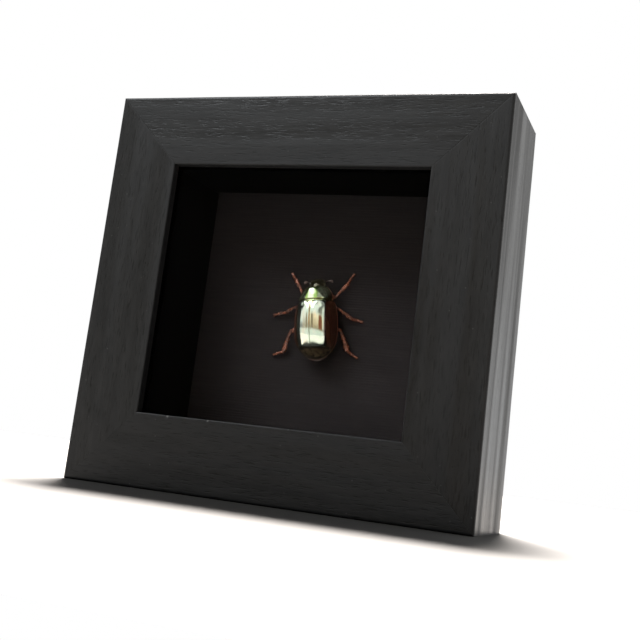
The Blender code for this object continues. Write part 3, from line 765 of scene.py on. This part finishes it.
# %% Shape the wing cases
def case_relief(grid, along, share):
    """Height added to the dome: grooves, seam edge, margin bead, knobs, and rounded ends."""
    steps = np.linalg.norm(np.diff(grid, axis=1), axis=2)
    from_seam = np.concatenate([np.zeros((len(grid), 1)), np.cumsum(steps, axis=1)], axis=1)
    from_margin = from_seam[:, -1:] - from_seam
    x, y = np.abs(grid[..., 0]), grid[..., 1]
    open_back = np.clip((from_seam - 0.6) / 0.8, 0, 1) * np.clip((from_margin - 0.9) / 1.2, 0, 1)
    open_back *= np.clip((4.2 - y) / 2.5, 0, 1) * np.clip((y + 12.0) / 2.5, 0, 1)
    grooves = -GROOVE_DEEP * bell(np.sin(np.pi * GROOVE_ROWS * share), 0.42)
    grooves += SWELL_HIGH * np.cos(2 * np.pi * 2.2 * share)
    relief = open_back * grooves
    relief += 0.05 * bell(from_seam - 0.22, 0.16) - 0.025 * bell(from_seam - 0.62, 0.18)
    relief += 0.11 * bell(from_margin - 0.3, 0.17) - 0.07 * bell(from_margin - 0.72, 0.2)
    knob = np.where(grid[..., 0] < 0, *SHOULDER_KNOBS)
    relief += knob * bell(np.hypot(x - 4.35, (y - 3.0) * 0.75), 0.95)
    relief += 0.16 * bell(np.hypot(x - 3.3, y + 9.4), 1.3)
    relief -= 0.10 * bell(np.hypot(x - 2.6, (y - 3.9) * 0.8), 0.8)
    relief -= rolled_edge(from_seam, 0.09) + rolled_edge(from_margin, 0.12)
    # The second value marks the margin bead, where the finish paints a lighter line: partly colour, partly painted
    # highlight.
    return relief - rolled_edge(np.abs(along[:, None] - CASE_FRONT), 0.3), bell(from_margin - 0.26, 0.16)


def case_grids(side, rows=170, columns=96, wall=0.35):
    """Outer and inner surface. Across: inner + span * sin(a)^DOME, up: top * cos(a)^DOME, a from 0 to 90."""
    part = np.linspace(0, 1, rows)
    along = CASE_FRONT + (CASE_REAR + 0.01 - CASE_FRONT) * (1 - (1 - part) ** 1.7)
    a = np.pi / 2 * np.linspace(0, 1, columns)
    half, top, seam = (f(along)[:, None] for f in (case_half, case_top, seam_half))
    share = np.sin(a) ** DOME
    x = seam + np.maximum(half - seam, 0.02) * share
    z = RIM_UP + top * np.clip(np.cos(a), 0, 1) ** DOME
    y = along[:, None] - case_bow(along)[:, None] * (1 - np.clip(x / half, 0, 1) ** 2)
    grid = np.stack([side * x, y, z], -1)
    normal = normals_of(grid, [0, -3.0, RIM_UP])
    relief, rim = case_relief(grid, along, share)
    outer = grid + normal * relief[..., None]
    narrower, lower = (1 - wall / np.maximum(size, 0.5) for size in (half, top))
    inner = np.stack([side * (seam + (x - seam) * narrower), y, RIM_UP + (z - RIM_UP) * lower], -1)
    return outer, inner, rim


CASES = {side: case_grids(side) for side in (-1, 1)}
print("wing case points:", CASES[1][0].size // 3)

# %% [markdown]
# ## Silver chitin
#
# The wing cases are not metal. They are stacked clear films that mirror like metal, over brown skin that
# shows wherever they thin out. So the finish is mostly metallic, with red-brown skin towards the margins
# and a mottled brown tail, greenish and golden drifts over the back, and gold along the seam. A lighter
# copper line on the margin bead is partly copper colour and partly a painted highlight.


# %% Mix the silver
def body_places(tree):
    """The piece's own millimetre places, kept in the mesh as an attribute."""
    return node(tree, "Attribute", attribute_name="body_mm").outputs["Vector"]


def side_share(tree, place, start, end):
    """0 near the body's middle line and 1 out at its sides, by the distance across."""
    across = node(tree, "SeparateXYZ", {"Vector": place}).outputs["X"]
    return soft_step(tree, maths(tree, "ABSOLUTE", across), start, end)


def rear_share(tree, place, start, end):
    """0 in front of start and 1 behind end, by the distance along the body."""
    along = node(tree, "SeparateXYZ", {"Vector": place}).outputs["Y"]
    return soft_step(tree, along, start, end)


silver, tree, shader = new_finish(
    "silver_wing_case", Specular_IOR_Level=0.5, Coat_Weight=0.35, Coat_Roughness=0.05, Coat_IOR=1.5
)
place = body_places(tree)
drift = noise(tree, stretched(tree, place, (0.35, 0.12, 0.2)), detail=2.0)
fine = noise(tree, stretched(tree, place, (3.2, 0.5, 1.5)), detail=3.0)
pits = node(tree, "TexVoronoi", {"Vector": stretched(tree, place, (2.6, 2.0, 2.0)), "Scale": 1.0}).outputs["Distance"]
pits = ramp(tree, pits, (0.05, 0.0), (0.28, 1.0))
films = ramp(tree, drift, (0.32, (0.62, 0.74, 0.59)), (0.5, (0.70, 0.78, 0.65)), (0.68, (0.78, 0.77, 0.61)))
golden = times(tree, times(tree, side_share(tree, place, 0.5, 0.05), 0.55), rear_share(tree, place, -4.5, -2.0))
films = mixed(tree, golden, films, (0.78, 0.58, 0.25))
skin = ramp(tree, drift, (0.32, (0.043, 0.014, 0.009)), (0.68, (0.064, 0.024, 0.012)))
mottle = noise(tree, place, 1.1, 4.0, 0.6)
rear = ramp(tree, mottle, (0.35, (0.035, 0.022, 0.013)), (0.65, (0.10, 0.078, 0.045)))
to_rear = rear_share(tree, place, -7.5, -11.0)
rim = node(tree, "Attribute", attribute_name="rim").outputs["Fac"]
# rim: the margin bead in lighter copper, partly copper colour and partly a painted highlight.
skin = mixed(tree, to_rear, mixed(tree, rim, skin, (0.25, 0.085, 0.05)), rear)
bare = maths(tree, "MAXIMUM", side_share(tree, place, 4.1, 5.3), rear_share(tree, place, -9.2, -10.6))
tree.links.new(mixed(tree, ramp(tree, bare, (0.0, 0.0), (0.45, 1.0)), films, skin), shader.inputs["Base Color"])
tree.links.new(ramp(tree, bare, (0.35, 0.98), (1.0, 0.3)), shader.inputs["Metallic"])
tree.links.new(spread_to(tree, fine, 0.05, 0.16), shader.inputs["Roughness"])
bumps(tree, shader, (fine, 0.00003, 0.35), (pits, 0.00002, 0.25))

for side, word in ((-1, "left"), (1, "right")):
    outer, inner, rim = CASES[side]
    rims = np.concatenate([rim.ravel(), np.zeros(rim.size)])
    beetle_piece("wing_case_" + word, [shell(outer, inner)], silver, ["elytron_" + word], 60, rims)

# %% [markdown]
# ## The shield and the small triangle
#
# The pronotum is the shield behind the head. Its ring is a full dome above and a shallow one below, and
# the whole ring bows back in the middle, so its front edge cups the head and its rear edge meets the wing
# cases in a curve. The dome is boxy at the rear and rounder in front, where it also falls to the head. A
# fine bead runs round the sides and the rear, with a shallow dent on each flank.

# %% Sizes of the shield, in millimetres
SHIELD_REAR, SHIELD_FRONT, SHIELD_WIDEST = 5.36, 10.25, 6.3
SHIELD_HALF, SHIELD_FRONT_HALF = 5.6, 3.1
SHIELD_TOP, SHIELD_FRONT_TOP, SHIELD_RIM, SHIELD_BELLY = 9.2, 6.7, 3.5, 2.0


def shield_half(along):
    """Half width: widest a little before the rear edge, and a power curve from there to the front."""
    rear = np.clip((SHIELD_WIDEST - along) / 0.8, 0, 2)
    front = np.clip((along - SHIELD_WIDEST) / (SHIELD_FRONT - SHIELD_WIDEST), 0, 1)
    forward = SHIELD_HALF - (SHIELD_HALF - SHIELD_FRONT_HALF) * front**1.6
    return np.where(along < SHIELD_WIDEST, SHIELD_HALF - 0.2 * rear**2, forward)


def dome_rings(along, half, low, rim, top, bow, upper=120, lower=44, dome=DOME):
    """Rings with a full dome over the rim, sin(a)^dome high, and a flatter half circle under it."""
    over = np.pi * np.linspace(0, 1, upper)
    under = np.pi * np.linspace(0, 1, lower)[1:-1]
    across = np.concatenate([np.cos(over), -np.cos(under)])
    sizes = (half, low, rim, top, bow, dome)
    half, low, rim, top, bow, dome = (np.broadcast_to(size, along.shape)[:, None] for size in sizes)
    up = np.clip(np.concatenate([np.sin(over), np.zeros(lower - 2)]), 0, 1)[None, :] ** dome
    down = np.concatenate([np.zeros(upper), np.sin(under)])
    y = along[:, None] - bow * (1 - across**2)
    return np.stack([half * across, y, rim + (top - rim) * up - (rim - low) * down], -1), over


# %% Shape the shield
along = np.linspace(SHIELD_REAR, SHIELD_FRONT, 110)
part = (along - SHIELD_REAR) / (SHIELD_FRONT - SHIELD_REAR)
top = SHIELD_TOP - 0.9 * part**1.4 - (SHIELD_TOP - 0.9 - SHIELD_FRONT_TOP) * part**18
low_rim = SHIELD_RIM - 0.7 * part
rings, over = dome_rings(along, shield_half(along), SHIELD_BELLY, low_rim, top, BASE_BOW, dome=0.72 + 0.4 * part)
normal = normals_of(rings, [0, 7.8, 4.5], closed=True)
upper = np.concatenate([np.sin(over), np.zeros(rings.shape[1] - len(over))])
from_rim = 4.2 * upper
from_rear, from_front = (along - SHIELD_REAR)[:, None], (SHIELD_FRONT - along)[:, None]
# rim marks the bead, which the finish paints lighter copper: partly colour, partly a painted highlight.
rim = np.broadcast_to(bell(from_rim - 0.3, 0.32) * (upper > 0), rings.shape[:2])
relief = 0.10 * bell(from_rim - 0.25, 0.18) * (upper > 0)
relief = relief + 0.07 * bell(from_rear - 0.2, 0.13) - 0.06 * bell(from_rear - 0.5, 0.14)
relief = relief + 0.05 * bell(from_front - 0.2, 0.12) - 0.04 * bell(from_front - 0.45, 0.12)
relief = relief - 0.14 * bell(np.hypot(np.abs(rings[..., 0]) - 4.0, rings[..., 1] - 7.2), 0.6)
relief = relief - rolled_edge(from_rear, 0.14) - rolled_edge(from_front, 0.14)
shield = closed_skin(rings + normal * relief[..., None])
shield_rim_highlight = np.concatenate([rim.ravel(), [0.0, 0.0]])

# %% [markdown]
# The scutellum is the little triangle that the wing cases leave open in front. It is a small cushion: a
# grid whose width shrinks to the tip and whose edges roll down into the gap.

# %% Shape the triangle
rows = np.linspace(5.15, 3.62, 30)
share = np.linspace(-1, 1, 30)
half = 0.72 * np.clip(rows - 3.55, 0, None) ** 0.92
x = half[:, None] * share[None, :]
rolled = 0.22 * np.abs(share[None, :]) ** 4 + 0.12 * bell(rows - 3.6, 0.12)[:, None]
z = RIM_UP + case_top(rows)[:, None] + 0.05 - rolled
y = rows[:, None] - case_bow(rows)[:, None] * (1 - (x / case_half(rows)[:, None]) ** 2)
triangle = shell(np.stack([x, y, z], -1), np.stack([x * 0.9, y, z - 0.6], -1))

# %% [markdown]
# ## Green metal
#
# The shield mirrors as the wing cases do, but in green. Bands of pale and deep green run along it: partly
# the shield's own banding and partly a painted reflection. Real films of this kind turn deeper where the
# surface leans away, and Layer Weight knows that lean. Olive comes in along the rear edge and bronze along
# the flanks. A lighter copper line on the bead is partly copper colour and partly a painted highlight. The
# small triangle is paler, behind a thin dark line that is painted shade at the seam.

# %% Mix the green
green, tree, shader = new_finish("green_metal", Coat_Weight=0.4, Coat_Roughness=0.04, Coat_IOR=1.5)
place = body_places(tree)
lean = node(tree, "LayerWeight", {"Blend": 0.35}).outputs["Facing"]
patch = noise(tree, stretched(tree, place, (0.4, 0.5, 0.4)), detail=2.0)
fine = noise(tree, place, 2.4, 3.0)
pits = node(tree, "TexVoronoi", {"Vector": place, "Scale": 4.2}).outputs["Distance"]
pits = ramp(tree, pits, (0.05, 0.0), (0.3, 1.0))
across = maths(tree, "ABSOLUTE", node(tree, "SeparateXYZ", {"Vector": place}).outputs["X"])
uneven = maths(tree, "ADD", across, spread_to(tree, patch, -0.9, 0.9))
# Pale and deep green bands: partly the shield's own colour, partly a painted reflection.
PALE, DEEP = (0.84, 0.93, 0.66), (0.34, 0.52, 0.14)
bands = ramp(tree, times(tree, uneven, 0.25), (0.16, PALE), (0.30, DEEP), (0.44, DEEP), (0.58, PALE))
tilted = mixed(tree, ramp(tree, lean, (0.25, 0.0), (0.8, 1.0)), bands, (0.16, 0.26, 0.07))
flank = side_share(tree, place, 4.2, 5.4)
rim = node(tree, "Attribute", attribute_name="rim").outputs["Fac"]
shown = mixed(tree, flank, tilted, (0.11, 0.06, 0.03))
shown = mixed(tree, rear_share(tree, place, 5.8, 5.55), shown, (0.30, 0.30, 0.06))
shown = mixed(tree, rear_share(tree, place, 5.3, 5.2), shown, (0.58, 0.66, 0.36))
# A thin near-black band by the seam between shield and wing cases: painted shade.
painted_seam_shade = times(tree, rear_share(tree, place, 5.5, 5.38), rear_share(tree, place, 5.18, 5.26))
shown = mixed(tree, painted_seam_shade, shown, (0.012, 0.010, 0.004))
# rim: lighter copper on the bead, partly copper colour and partly a painted highlight.
tree.links.new(mixed(tree, rim, shown, (0.24, 0.09, 0.05)), shader.inputs["Base Color"])
tree.links.new(spread_to(tree, rim, 0.96, 0.35), shader.inputs["Metallic"])
tree.links.new(spread_to(tree, fine, 0.06, 0.16), shader.inputs["Roughness"])
bumps(tree, shader, (fine, 0.00002, 0.3), (pits, 0.00001, 0.25))
beetle_piece("shield", [shield], green, ["pronotum"], sharp=60, rim=shield_rim_highlight)
beetle_piece("seam_triangle", [triangle], green, ["scutellum"], sharp=60)

# %% [markdown]
# ## The head
#
# Seen from above, the head is a shovel: broad between the eyes, with a flat rounded front plate whose rim
# turns up. A fine line crosses it where the plate joins the brow. The eyes are plain bulges at the sides,
# and two short feelers for the mouth show under the front edge.

# %% Shape the head
HEAD_ASIDE = 0.25
HEAD_REAR, PLATE_REAR, PLATE_FRONT = 9.3, 10.9, 12.2
tip = PLATE_FRONT + 0.58 * np.sin(np.linspace(0.04, 1, 40) * np.pi / 2)
along = np.concatenate([np.linspace(HEAD_REAR, PLATE_FRONT, 60), tip])
forward = np.clip((along - PLATE_REAR) / 1.9, 0, 1)
brow = through(along, (HEAD_REAR, 10.2, PLATE_REAR), (2.2, 2.35, 2.5))
half = np.where(along < PLATE_REAR, brow, 2.5 * (1 - forward**2.8) ** (1 / 2.3))
top = 6.0 - 0.25 * (along - 10.35) - 0.28 * (along - 10.35) ** 2
low = 2.55 + 0.12 * forward
bow = 0.3 * np.clip(1 - (along - 10.3) / 1.0, 0, 1)
rings, _ = dome_rings(along, half, low, low + 0.35 * (top - low), top, bow, 90, 40)
normal = normals_of(rings, [0, 10.8, 3.8], closed=True)
is_over = rings[..., 2] > (low + 0.42 * (top - low))[:, None]
plate_edge = np.hypot(rings[..., 0] / 2.45, np.clip(rings[..., 1] - PLATE_REAR, 0, None) / 1.88)
turned_up = 0.12 * bell(plate_edge - 0.97, 0.035) - 0.05 * bell(plate_edge - 0.86, 0.06)
relief = is_over * turned_up * np.clip((rings[..., 1] - 11.4) / 0.6, 0, 1)
relief = relief - is_over * 0.05 * bell(rings[..., 1] - 11.75 + 0.05 * rings[..., 0] ** 2, 0.06)
relief = relief - is_over * 0.07 * bell(np.hypot(np.abs(rings[..., 0]) - 0.9, rings[..., 1] - 11.1), 0.45)
rings = rings + normal * relief[..., None] + [HEAD_ASIDE, 0, 0]
head_skins = [closed_skin(rings)]


def ball(centre, radii, rows=20, columns=28):
    """An ellipsoid from rings between its poles: radius sin(a), height cos(a)."""
    a = np.linspace(0.06, np.pi - 0.06, rows)[:, None]
    turn = np.linspace(0, 2 * np.pi, columns, endpoint=False)[None, :]
    points = np.stack([np.sin(a) * np.cos(turn), np.sin(a) * np.sin(turn), np.cos(a) * np.ones_like(turn)], -1)
    return closed_skin(points * radii + np.array(centre))


eyes = [ball((side * 2.25 + HEAD_ASIDE, 10.95, 4.1), (0.58, 0.66, 0.62)) for side in (-1, 1)]

# %% [markdown]
# ## Limbs
#
# Every limb is a tube with an oval section: a path, a half width along it and a flatness. The frame at each
# point is made from the direction of travel and straight up, so the broad side of a leg lies parallel to
# the paper, as it does in a dried specimen. Ridges are a small ripple round the section.


# %% Helper for limbs
def limb(path, halves, flat=0.7, columns=26, ridges=0, ridge=0.0):
    """Rings round a path: centre + level * half * cos(a) + upright * half * flat * sin(a), rippled by ridges."""
    path = np.asarray(path, float)
    travel = np.gradient(path, axis=0)
    travel /= np.linalg.norm(travel, axis=1, keepdims=True)
    level = np.cross(travel, [0, 0, 1])
    level /= np.linalg.norm(level, axis=1, keepdims=True)
    rise = np.cross(level, travel)
    a = np.linspace(0, 2 * np.pi, columns, endpoint=False)
    ripple = 1 + ridge * np.cos(ridges * a)
    wide = (np.asarray(halves)[:, None] * (np.cos(a) * ripple)[None, :])[..., None]
    tall = (np.asarray(halves)[:, None] * flat * (np.sin(a) * ripple)[None, :])[..., None]
    return closed_skin(path[:, None, :] + level[:, None, :] * wide + rise[:, None, :] * tall)


def round_ends(t, start, end):
    """1 along the limb, falling to 0 at each end as a quarter circle over the given shares of its length."""
    near = np.clip(1 - t / start, 0, 0.985) if start else 0.0
    far = np.clip(1 - (1 - t) / end, 0, 0.985) if end else 0.0
    return np.sqrt((1 - near**2) * (1 - far**2))


def hook(root, direction, turn, length, half, count=14):
    """A curved spike: it sets off along direction, bends towards turn, and tapers to a point."""
    t = np.linspace(0, 1, count)[:, None]
    path = np.array(root) + length * (np.array(direction) * t + np.array(turn) * t**2)
    return limb(path, half * (1 - t[:, 0] * 0.9) * round_ends(t[:, 0], 0.12, 0), 0.9, 10)


# %% [markdown]
# A leg has five parts that never come apart in a dried beetle: a hip knob, a strong thigh, a ridged shin
# with teeth on its outer edge and spurs at its end, a foot of five short joints, and two claws. The
# joints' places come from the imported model.

# %% Joints and sizes of the legs, in millimetres
LEG_JOINTS = {
    "leg_front_left": ((-2.6, 7.7, 1.3), (-5.7, 8.5, 2.1), (-8.3, 13.4, 1.2), (-9.8, 15.8, 0.75)),
    "leg_front_right": ((2.6, 7.5, 1.3), (5.8, 6.7, 2.1), (9.4, 10.9, 1.2), (11.5, 14.2, 0.75)),
    "leg_middle_left": ((-2.4, 2.2, 1.2), (-8.0, 4.3, 2.2), (-11.6, 2.9, 1.0), (-16.0, 2.3, 0.75)),
    "leg_middle_right": ((2.4, 2.0, 1.2), (6.0, 3.4, 1.9), (10.9, -0.35, 1.1), (14.3, -1.4, 0.75)),
    "leg_hind_left": ((-2.4, -3.6, 1.2), (-9.2, -3.2, 2.3), (-12.2, -10.0, 1.15), (-15.8, -10.6, 0.75)),
    "leg_hind_right": ((2.4, -3.8, 1.2), (7.2, -3.6, 2.0), (9.6, -10.7, 1.15), (12.7, -12.7, 0.75)),
}
FEMUR = {"front": (0.75, 0.5), "middle": (0.8, 0.5), "hind": (1.05, 0.52)}
TIBIA = {"front": (0.62, 0.4), "middle": (0.55, 0.42), "hind": (0.82, 0.48)}
TEETH = {"front": (0.55, 0.78, 0.97), "middle": (0.42, 0.7), "hind": (0.4, 0.66)}
FOOT_HALF = 0.6
FOOT_BREAKS = np.array([0.0, 0.17, 0.32, 0.47, 0.62, 1.0])


def unit(vector):
    return vector / np.linalg.norm(vector)


def foot_halves(t):
    """Half width of the foot: each joint starts thin and swells to its end, and the next starts thin again."""
    joint = np.clip(np.searchsorted(FOOT_BREAKS, t, side="right") - 1, 0, 4)
    part = (t - FOOT_BREAKS[joint]) / (FOOT_BREAKS[joint + 1] - FOOT_BREAKS[joint])
    swell = 0.56 + 0.44 * np.sin(np.clip(part * 1.15, 0, 1) * np.pi / 2) ** 1.5
    last = joint == 4
    return FOOT_HALF * np.where(last, 0.6 + 0.36 * part**1.3, swell) * (1 - 0.3 * bell(part - 1.0, 0.07) * ~last)


# %% Grow a leg
def leg_skins(name):
    """Closed skins of one leg, in the order hip, thigh, shin, teeth, spurs, bristles, foot, claws."""
    pair, outer = name.split("_")[1], -1 if name.endswith("left") else 1
    hip, knee, ankle, tip = (np.array(joint) for joint in LEG_JOINTS[name])
    wide, thick = FEMUR[pair]
    t = np.linspace(0, 1, 40)
    line = hip + (knee - hip) * t[:, None] + np.array([0, 0, 0.12]) * np.sin(np.pi * t)[:, None]
    thigh = wide * through(t, (0, 0.2, 0.5, 0.8, 1), (0.5, 0.85, 1.0, 0.88, 0.66)) * round_ends(t, 0.1, 0.12)
    skins = [ball(hip, (0.8, 0.7, 0.65)), limb(line, thigh, thick / wide, 28)]

    wide, thick = TIBIA[pair]
    shin = unit(ankle - knee)
    side = unit(np.cross(shin, [0, 0, 1])) * outer
    t = np.linspace(0, 1, 54)
    line = knee - 0.3 * shin + (ankle - knee + 0.3 * shin) * t[:, None] - side * 0.18 * np.sin(np.pi * t)[:, None]
    halves = wide * through(t, (0, 0.12, 0.5, 0.9, 1), (0.62, 0.58, 0.8, 1.03, 0.95)) * round_ends(t, 0.06, 0.05)
    skins.append(limb(line, halves, thick / wide, 32, ridges=6, ridge=0.07))
    skins.append(ball(knee + [0, 0, 0.05], (0.42, 0.42, 0.36)))

    length = np.linalg.norm(ankle - knee)
    for part in TEETH[pair]:
        root = knee + shin * length * part + side * wide * 0.45
        skins.append(hook(root, unit(side * 0.8 + shin * 0.45), shin * 0.3, 0.62, 0.26))
    for turn in (-0.35, 0.25):
        root = ankle - 0.25 * shin - side * wide * (0.5 if turn < 0 else -0.1)
        skins.append(hook(root, unit(shin + side * turn), side * turn * 0.3, 1.0, 0.13))
    for part in np.linspace(0.15, 0.92, 9):
        root = knee + shin * length * part - side * wide * 0.62
        skins.append(hook(root, unit(shin * 0.8 - side * 0.6), shin * 0.2, 0.42, 0.045, 5))

    t = np.linspace(0, 1, 101)
    sag = np.array([0, 0, 0.22]) * np.sin(np.pi * t)[:, None]
    start = ankle - 0.25 * shin
    line = start + (tip - start) * t[:, None] + sag
    skins.append(limb(line, foot_halves(t) * round_ends(t, 0.03, 0.03), 0.85, 20))
    step = unit(tip - start)
    across = unit(np.cross(step, [0, 0, 1]))
    for turn in (-1, 1):
        root = tip - step * 0.2 + across * turn * 0.1
        bend = step * 0.2 - across * turn * 0.3 + [0, 0, -0.3]
        skins.append(hook(root, unit(step * 0.8 + across * turn * 0.5), bend, 0.7, 0.17))
    return skins


LEGS = {name: leg_skins(name) for name in LEG_JOINTS}
print("skins in one leg:", len(LEGS["leg_hind_left"]))

# %% [markdown]
# ## Copper, bronze and brown
#
# Legs of such beetles are clear brown chitin with a coppery shine, redder where it is thin. The head is
# the same green metal gone dark, closely pitted, the antennae are dark horn, and the underside is plain
# brown. The four share one recipe: a metallic base, a drift between two tones, fine pits, and a hard clear
# coat.


# %% Mix the chitin
def chitin(name, light, dark, metallic, rough, pit_scale, pit_depth):
    """Shiny skin: colour drifts between two tones, and small pits catch the light."""
    finish, tree, shader = new_finish(name, Metallic=metallic, Coat_Weight=0.5, Coat_Roughness=0.12, Coat_IOR=1.5)
    place = body_places(tree)
    drift = noise(tree, place, 0.9, 3.0)
    fine = noise(tree, place, 6.0, 3.0)
    pits = node(tree, "TexVoronoi", {"Vector": place, "Scale": pit_scale}).outputs["Distance"]
    pits = ramp(tree, pits, (0.06, 0.0), (0.32, 1.0))
    tree.links.new(ramp(tree, drift, (0.32, dark), (0.68, light)), shader.inputs["Base Color"])
    tree.links.new(spread_to(tree, fine, rough * 0.7, rough * 1.4), shader.inputs["Roughness"])
    bumps(tree, shader, (fine, 0.00005, 0.4), (pits, pit_depth, 0.5))
    return finish


copper = chitin("copper_leg", (0.22, 0.068, 0.034), (0.055, 0.017, 0.01), 0.6, 0.14, 2.4, 0.00004)
bronze = chitin("bronze_head", (0.05, 0.042, 0.018), (0.02, 0.017, 0.009), 0.8, 0.26, 4.6, 0.00006)
horn = chitin("dark_horn", (0.06, 0.022, 0.012), (0.028, 0.011, 0.007), 0.5, 0.25, 5.0, 0.00004)
brown = chitin("brown_belly", (0.07, 0.03, 0.017), (0.034, 0.014, 0.009), 0.45, 0.3, 2.6, 0.00008)

for name, skins in LEGS.items():
    beetle_piece(name.replace("leg", "limb"), skins, copper, [name])
feelers = []
for side in (-1, 1):
    ahead, bend = unit(np.array([side * 0.5, 1.0, -0.15])), np.array([-side * 0.2, 0.1, 0])
    feelers.append(hook((side * 0.8 + HEAD_ASIDE, 12.2, 2.7), ahead, bend, 1.1, 0.16))
beetle_piece("shovel_head", head_skins + eyes + feelers, bronze, ["head"], sharp=60)

# %% [markdown]
# ## Antennae
#
# A scarab's antenna is a bent stalk of short beads ending in a club of three leaves, shut here like a fan.

# %% Shape the antennae
ANTENNA_JOINTS = ((2.3, 11.5, 3.7), (3.0, 11.75, 3.7), (3.35, 11.95, 3.6), (3.85, 11.88, 3.45))
CLUB_LEAVES = ((-0.17, -0.12), (0.0, 0.0), (0.17, 0.12))

for side, word in ((-1, "left"), (1, "right")):
    joints = np.array([(side * x + HEAD_ASIDE, y, z) for x, y, z in ANTENNA_JOINTS])
    t = np.linspace(0, 1, 70)
    stalk = through(t, (0, 0.35, 0.6, 1), joints)
    first_joint = 0.17 + 0.05 * np.sin(np.pi * t / 0.4)
    five_beads = 0.15 + 0.055 * np.abs(np.sin(np.pi * 5 * (t - 0.4) / 0.6))
    beads = 0.8 * np.where(t < 0.4, first_joint, five_beads)
    skins = [limb(stalk, beads * round_ends(t, 0.03, 0.03), 0.9, 14)]
    for lift, spread in CLUB_LEAVES:
        t = np.linspace(0, 1, 26)
        tip = np.array([side * 4.9 + HEAD_ASIDE, 11.6 + spread * 1.5, 3.2 + lift])
        root = joints[-1] - [side * 0.1, 0, 0]
        leaf = root + (tip - root) * t[:, None] + np.array([0, 0.12, 0]) * np.sin(np.pi * t)[:, None]
        swell = 0.1 + 0.26 * np.sin(np.pi * t**0.8) ** 0.8
        skins.append(limb(leaf, swell * round_ends(t, 0.05, 0.1), 0.24, 18))
    beetle_piece("feeler_" + word, skins, horn, ["antenna_" + word])

# %% [markdown]
# ## The underside and the glue
#
# Little of the belly shows, but from the side the body must be whole: it fills the wing cases up to their
# rims, with a crease between each of its plates, and its last plate closes the tail. A low dab of glue
# ties it to the paper.

# %% Shape the underside
BELLY_FRONT, TAIL_FRONT, TAIL_END = 4.9, -11.2, -13.28
CREASES = np.array([1.2, -4.4, -6.2, -7.9, -9.5, -11.0])

along = np.concatenate([np.linspace(BELLY_FRONT, TAIL_FRONT, 120), np.linspace(TAIL_FRONT - 0.1, TAIL_END, 26)])
tail = np.clip((TAIL_FRONT - along) / 2.1, 0, 1)
under_case = np.maximum(along, TAIL_FRONT)
half = np.where(along > TAIL_FRONT, case_half(under_case) - 0.45, 3.9 * np.sqrt(1 - 0.93 * tail**1.7))
top = np.where(along > TAIL_FRONT, RIM_UP + case_top(under_case) - 0.75, 3.3 - 0.6 * tail)
top = np.minimum(top, 3.2 + 0.9 * np.clip(along + 12.6, 0, None) ** 0.9)
low = 1.9 + 0.5 * tail
side_rim = np.minimum(3.05, (low + top) / 2 + 0.4)
rings, _ = dome_rings(along, half, low, side_rim, top, case_bow(along), 60, 70)
normal = normals_of(rings, [0, -3.0, 3.2], closed=True)
relief = -0.09 * bell(rings[..., 1][..., None] - CREASES, 0.1).sum(-1)
belly = closed_skin(rings + normal * relief[..., None])
beetle_piece("belly", [belly], brown, ["underbody"])

# %% Press the glue
t = np.linspace(0, 1, 24)
turn = np.linspace(0, 2 * np.pi, 48, endpoint=False)
edge = 1 + 0.07 * np.sin(3 * turn + 0.5) + 0.04 * np.sin(5 * turn)
reach = (np.cos(t * np.pi / 2) ** 0.4)[:, None] * 0.45 + 0.55
x, y = 1.25 * reach * np.cos(turn) * edge, 2.5 * reach * np.sin(turn) * edge - 0.6
dab = np.stack([x, y, 0.02 + 1.95 * t[:, None] * np.ones_like(turn)], -1)
glue, tree, shader = new_finish("clear_glue", Roughness=0.25, Transmission_Weight=0.5, IOR=1.45)
place = body_places(tree)
cloudy = noise(tree, place, 1.6, 3.0)
tree.links.new(ramp(tree, cloudy, (0.3, (0.62, 0.56, 0.4)), (0.7, (0.8, 0.76, 0.6))), shader.inputs["Base Color"])
bumps(tree, shader, (cloudy, 0.0002, 0.4))
beetle_piece("glue", [closed_skin(dab)], glue, ["glue_dab"])
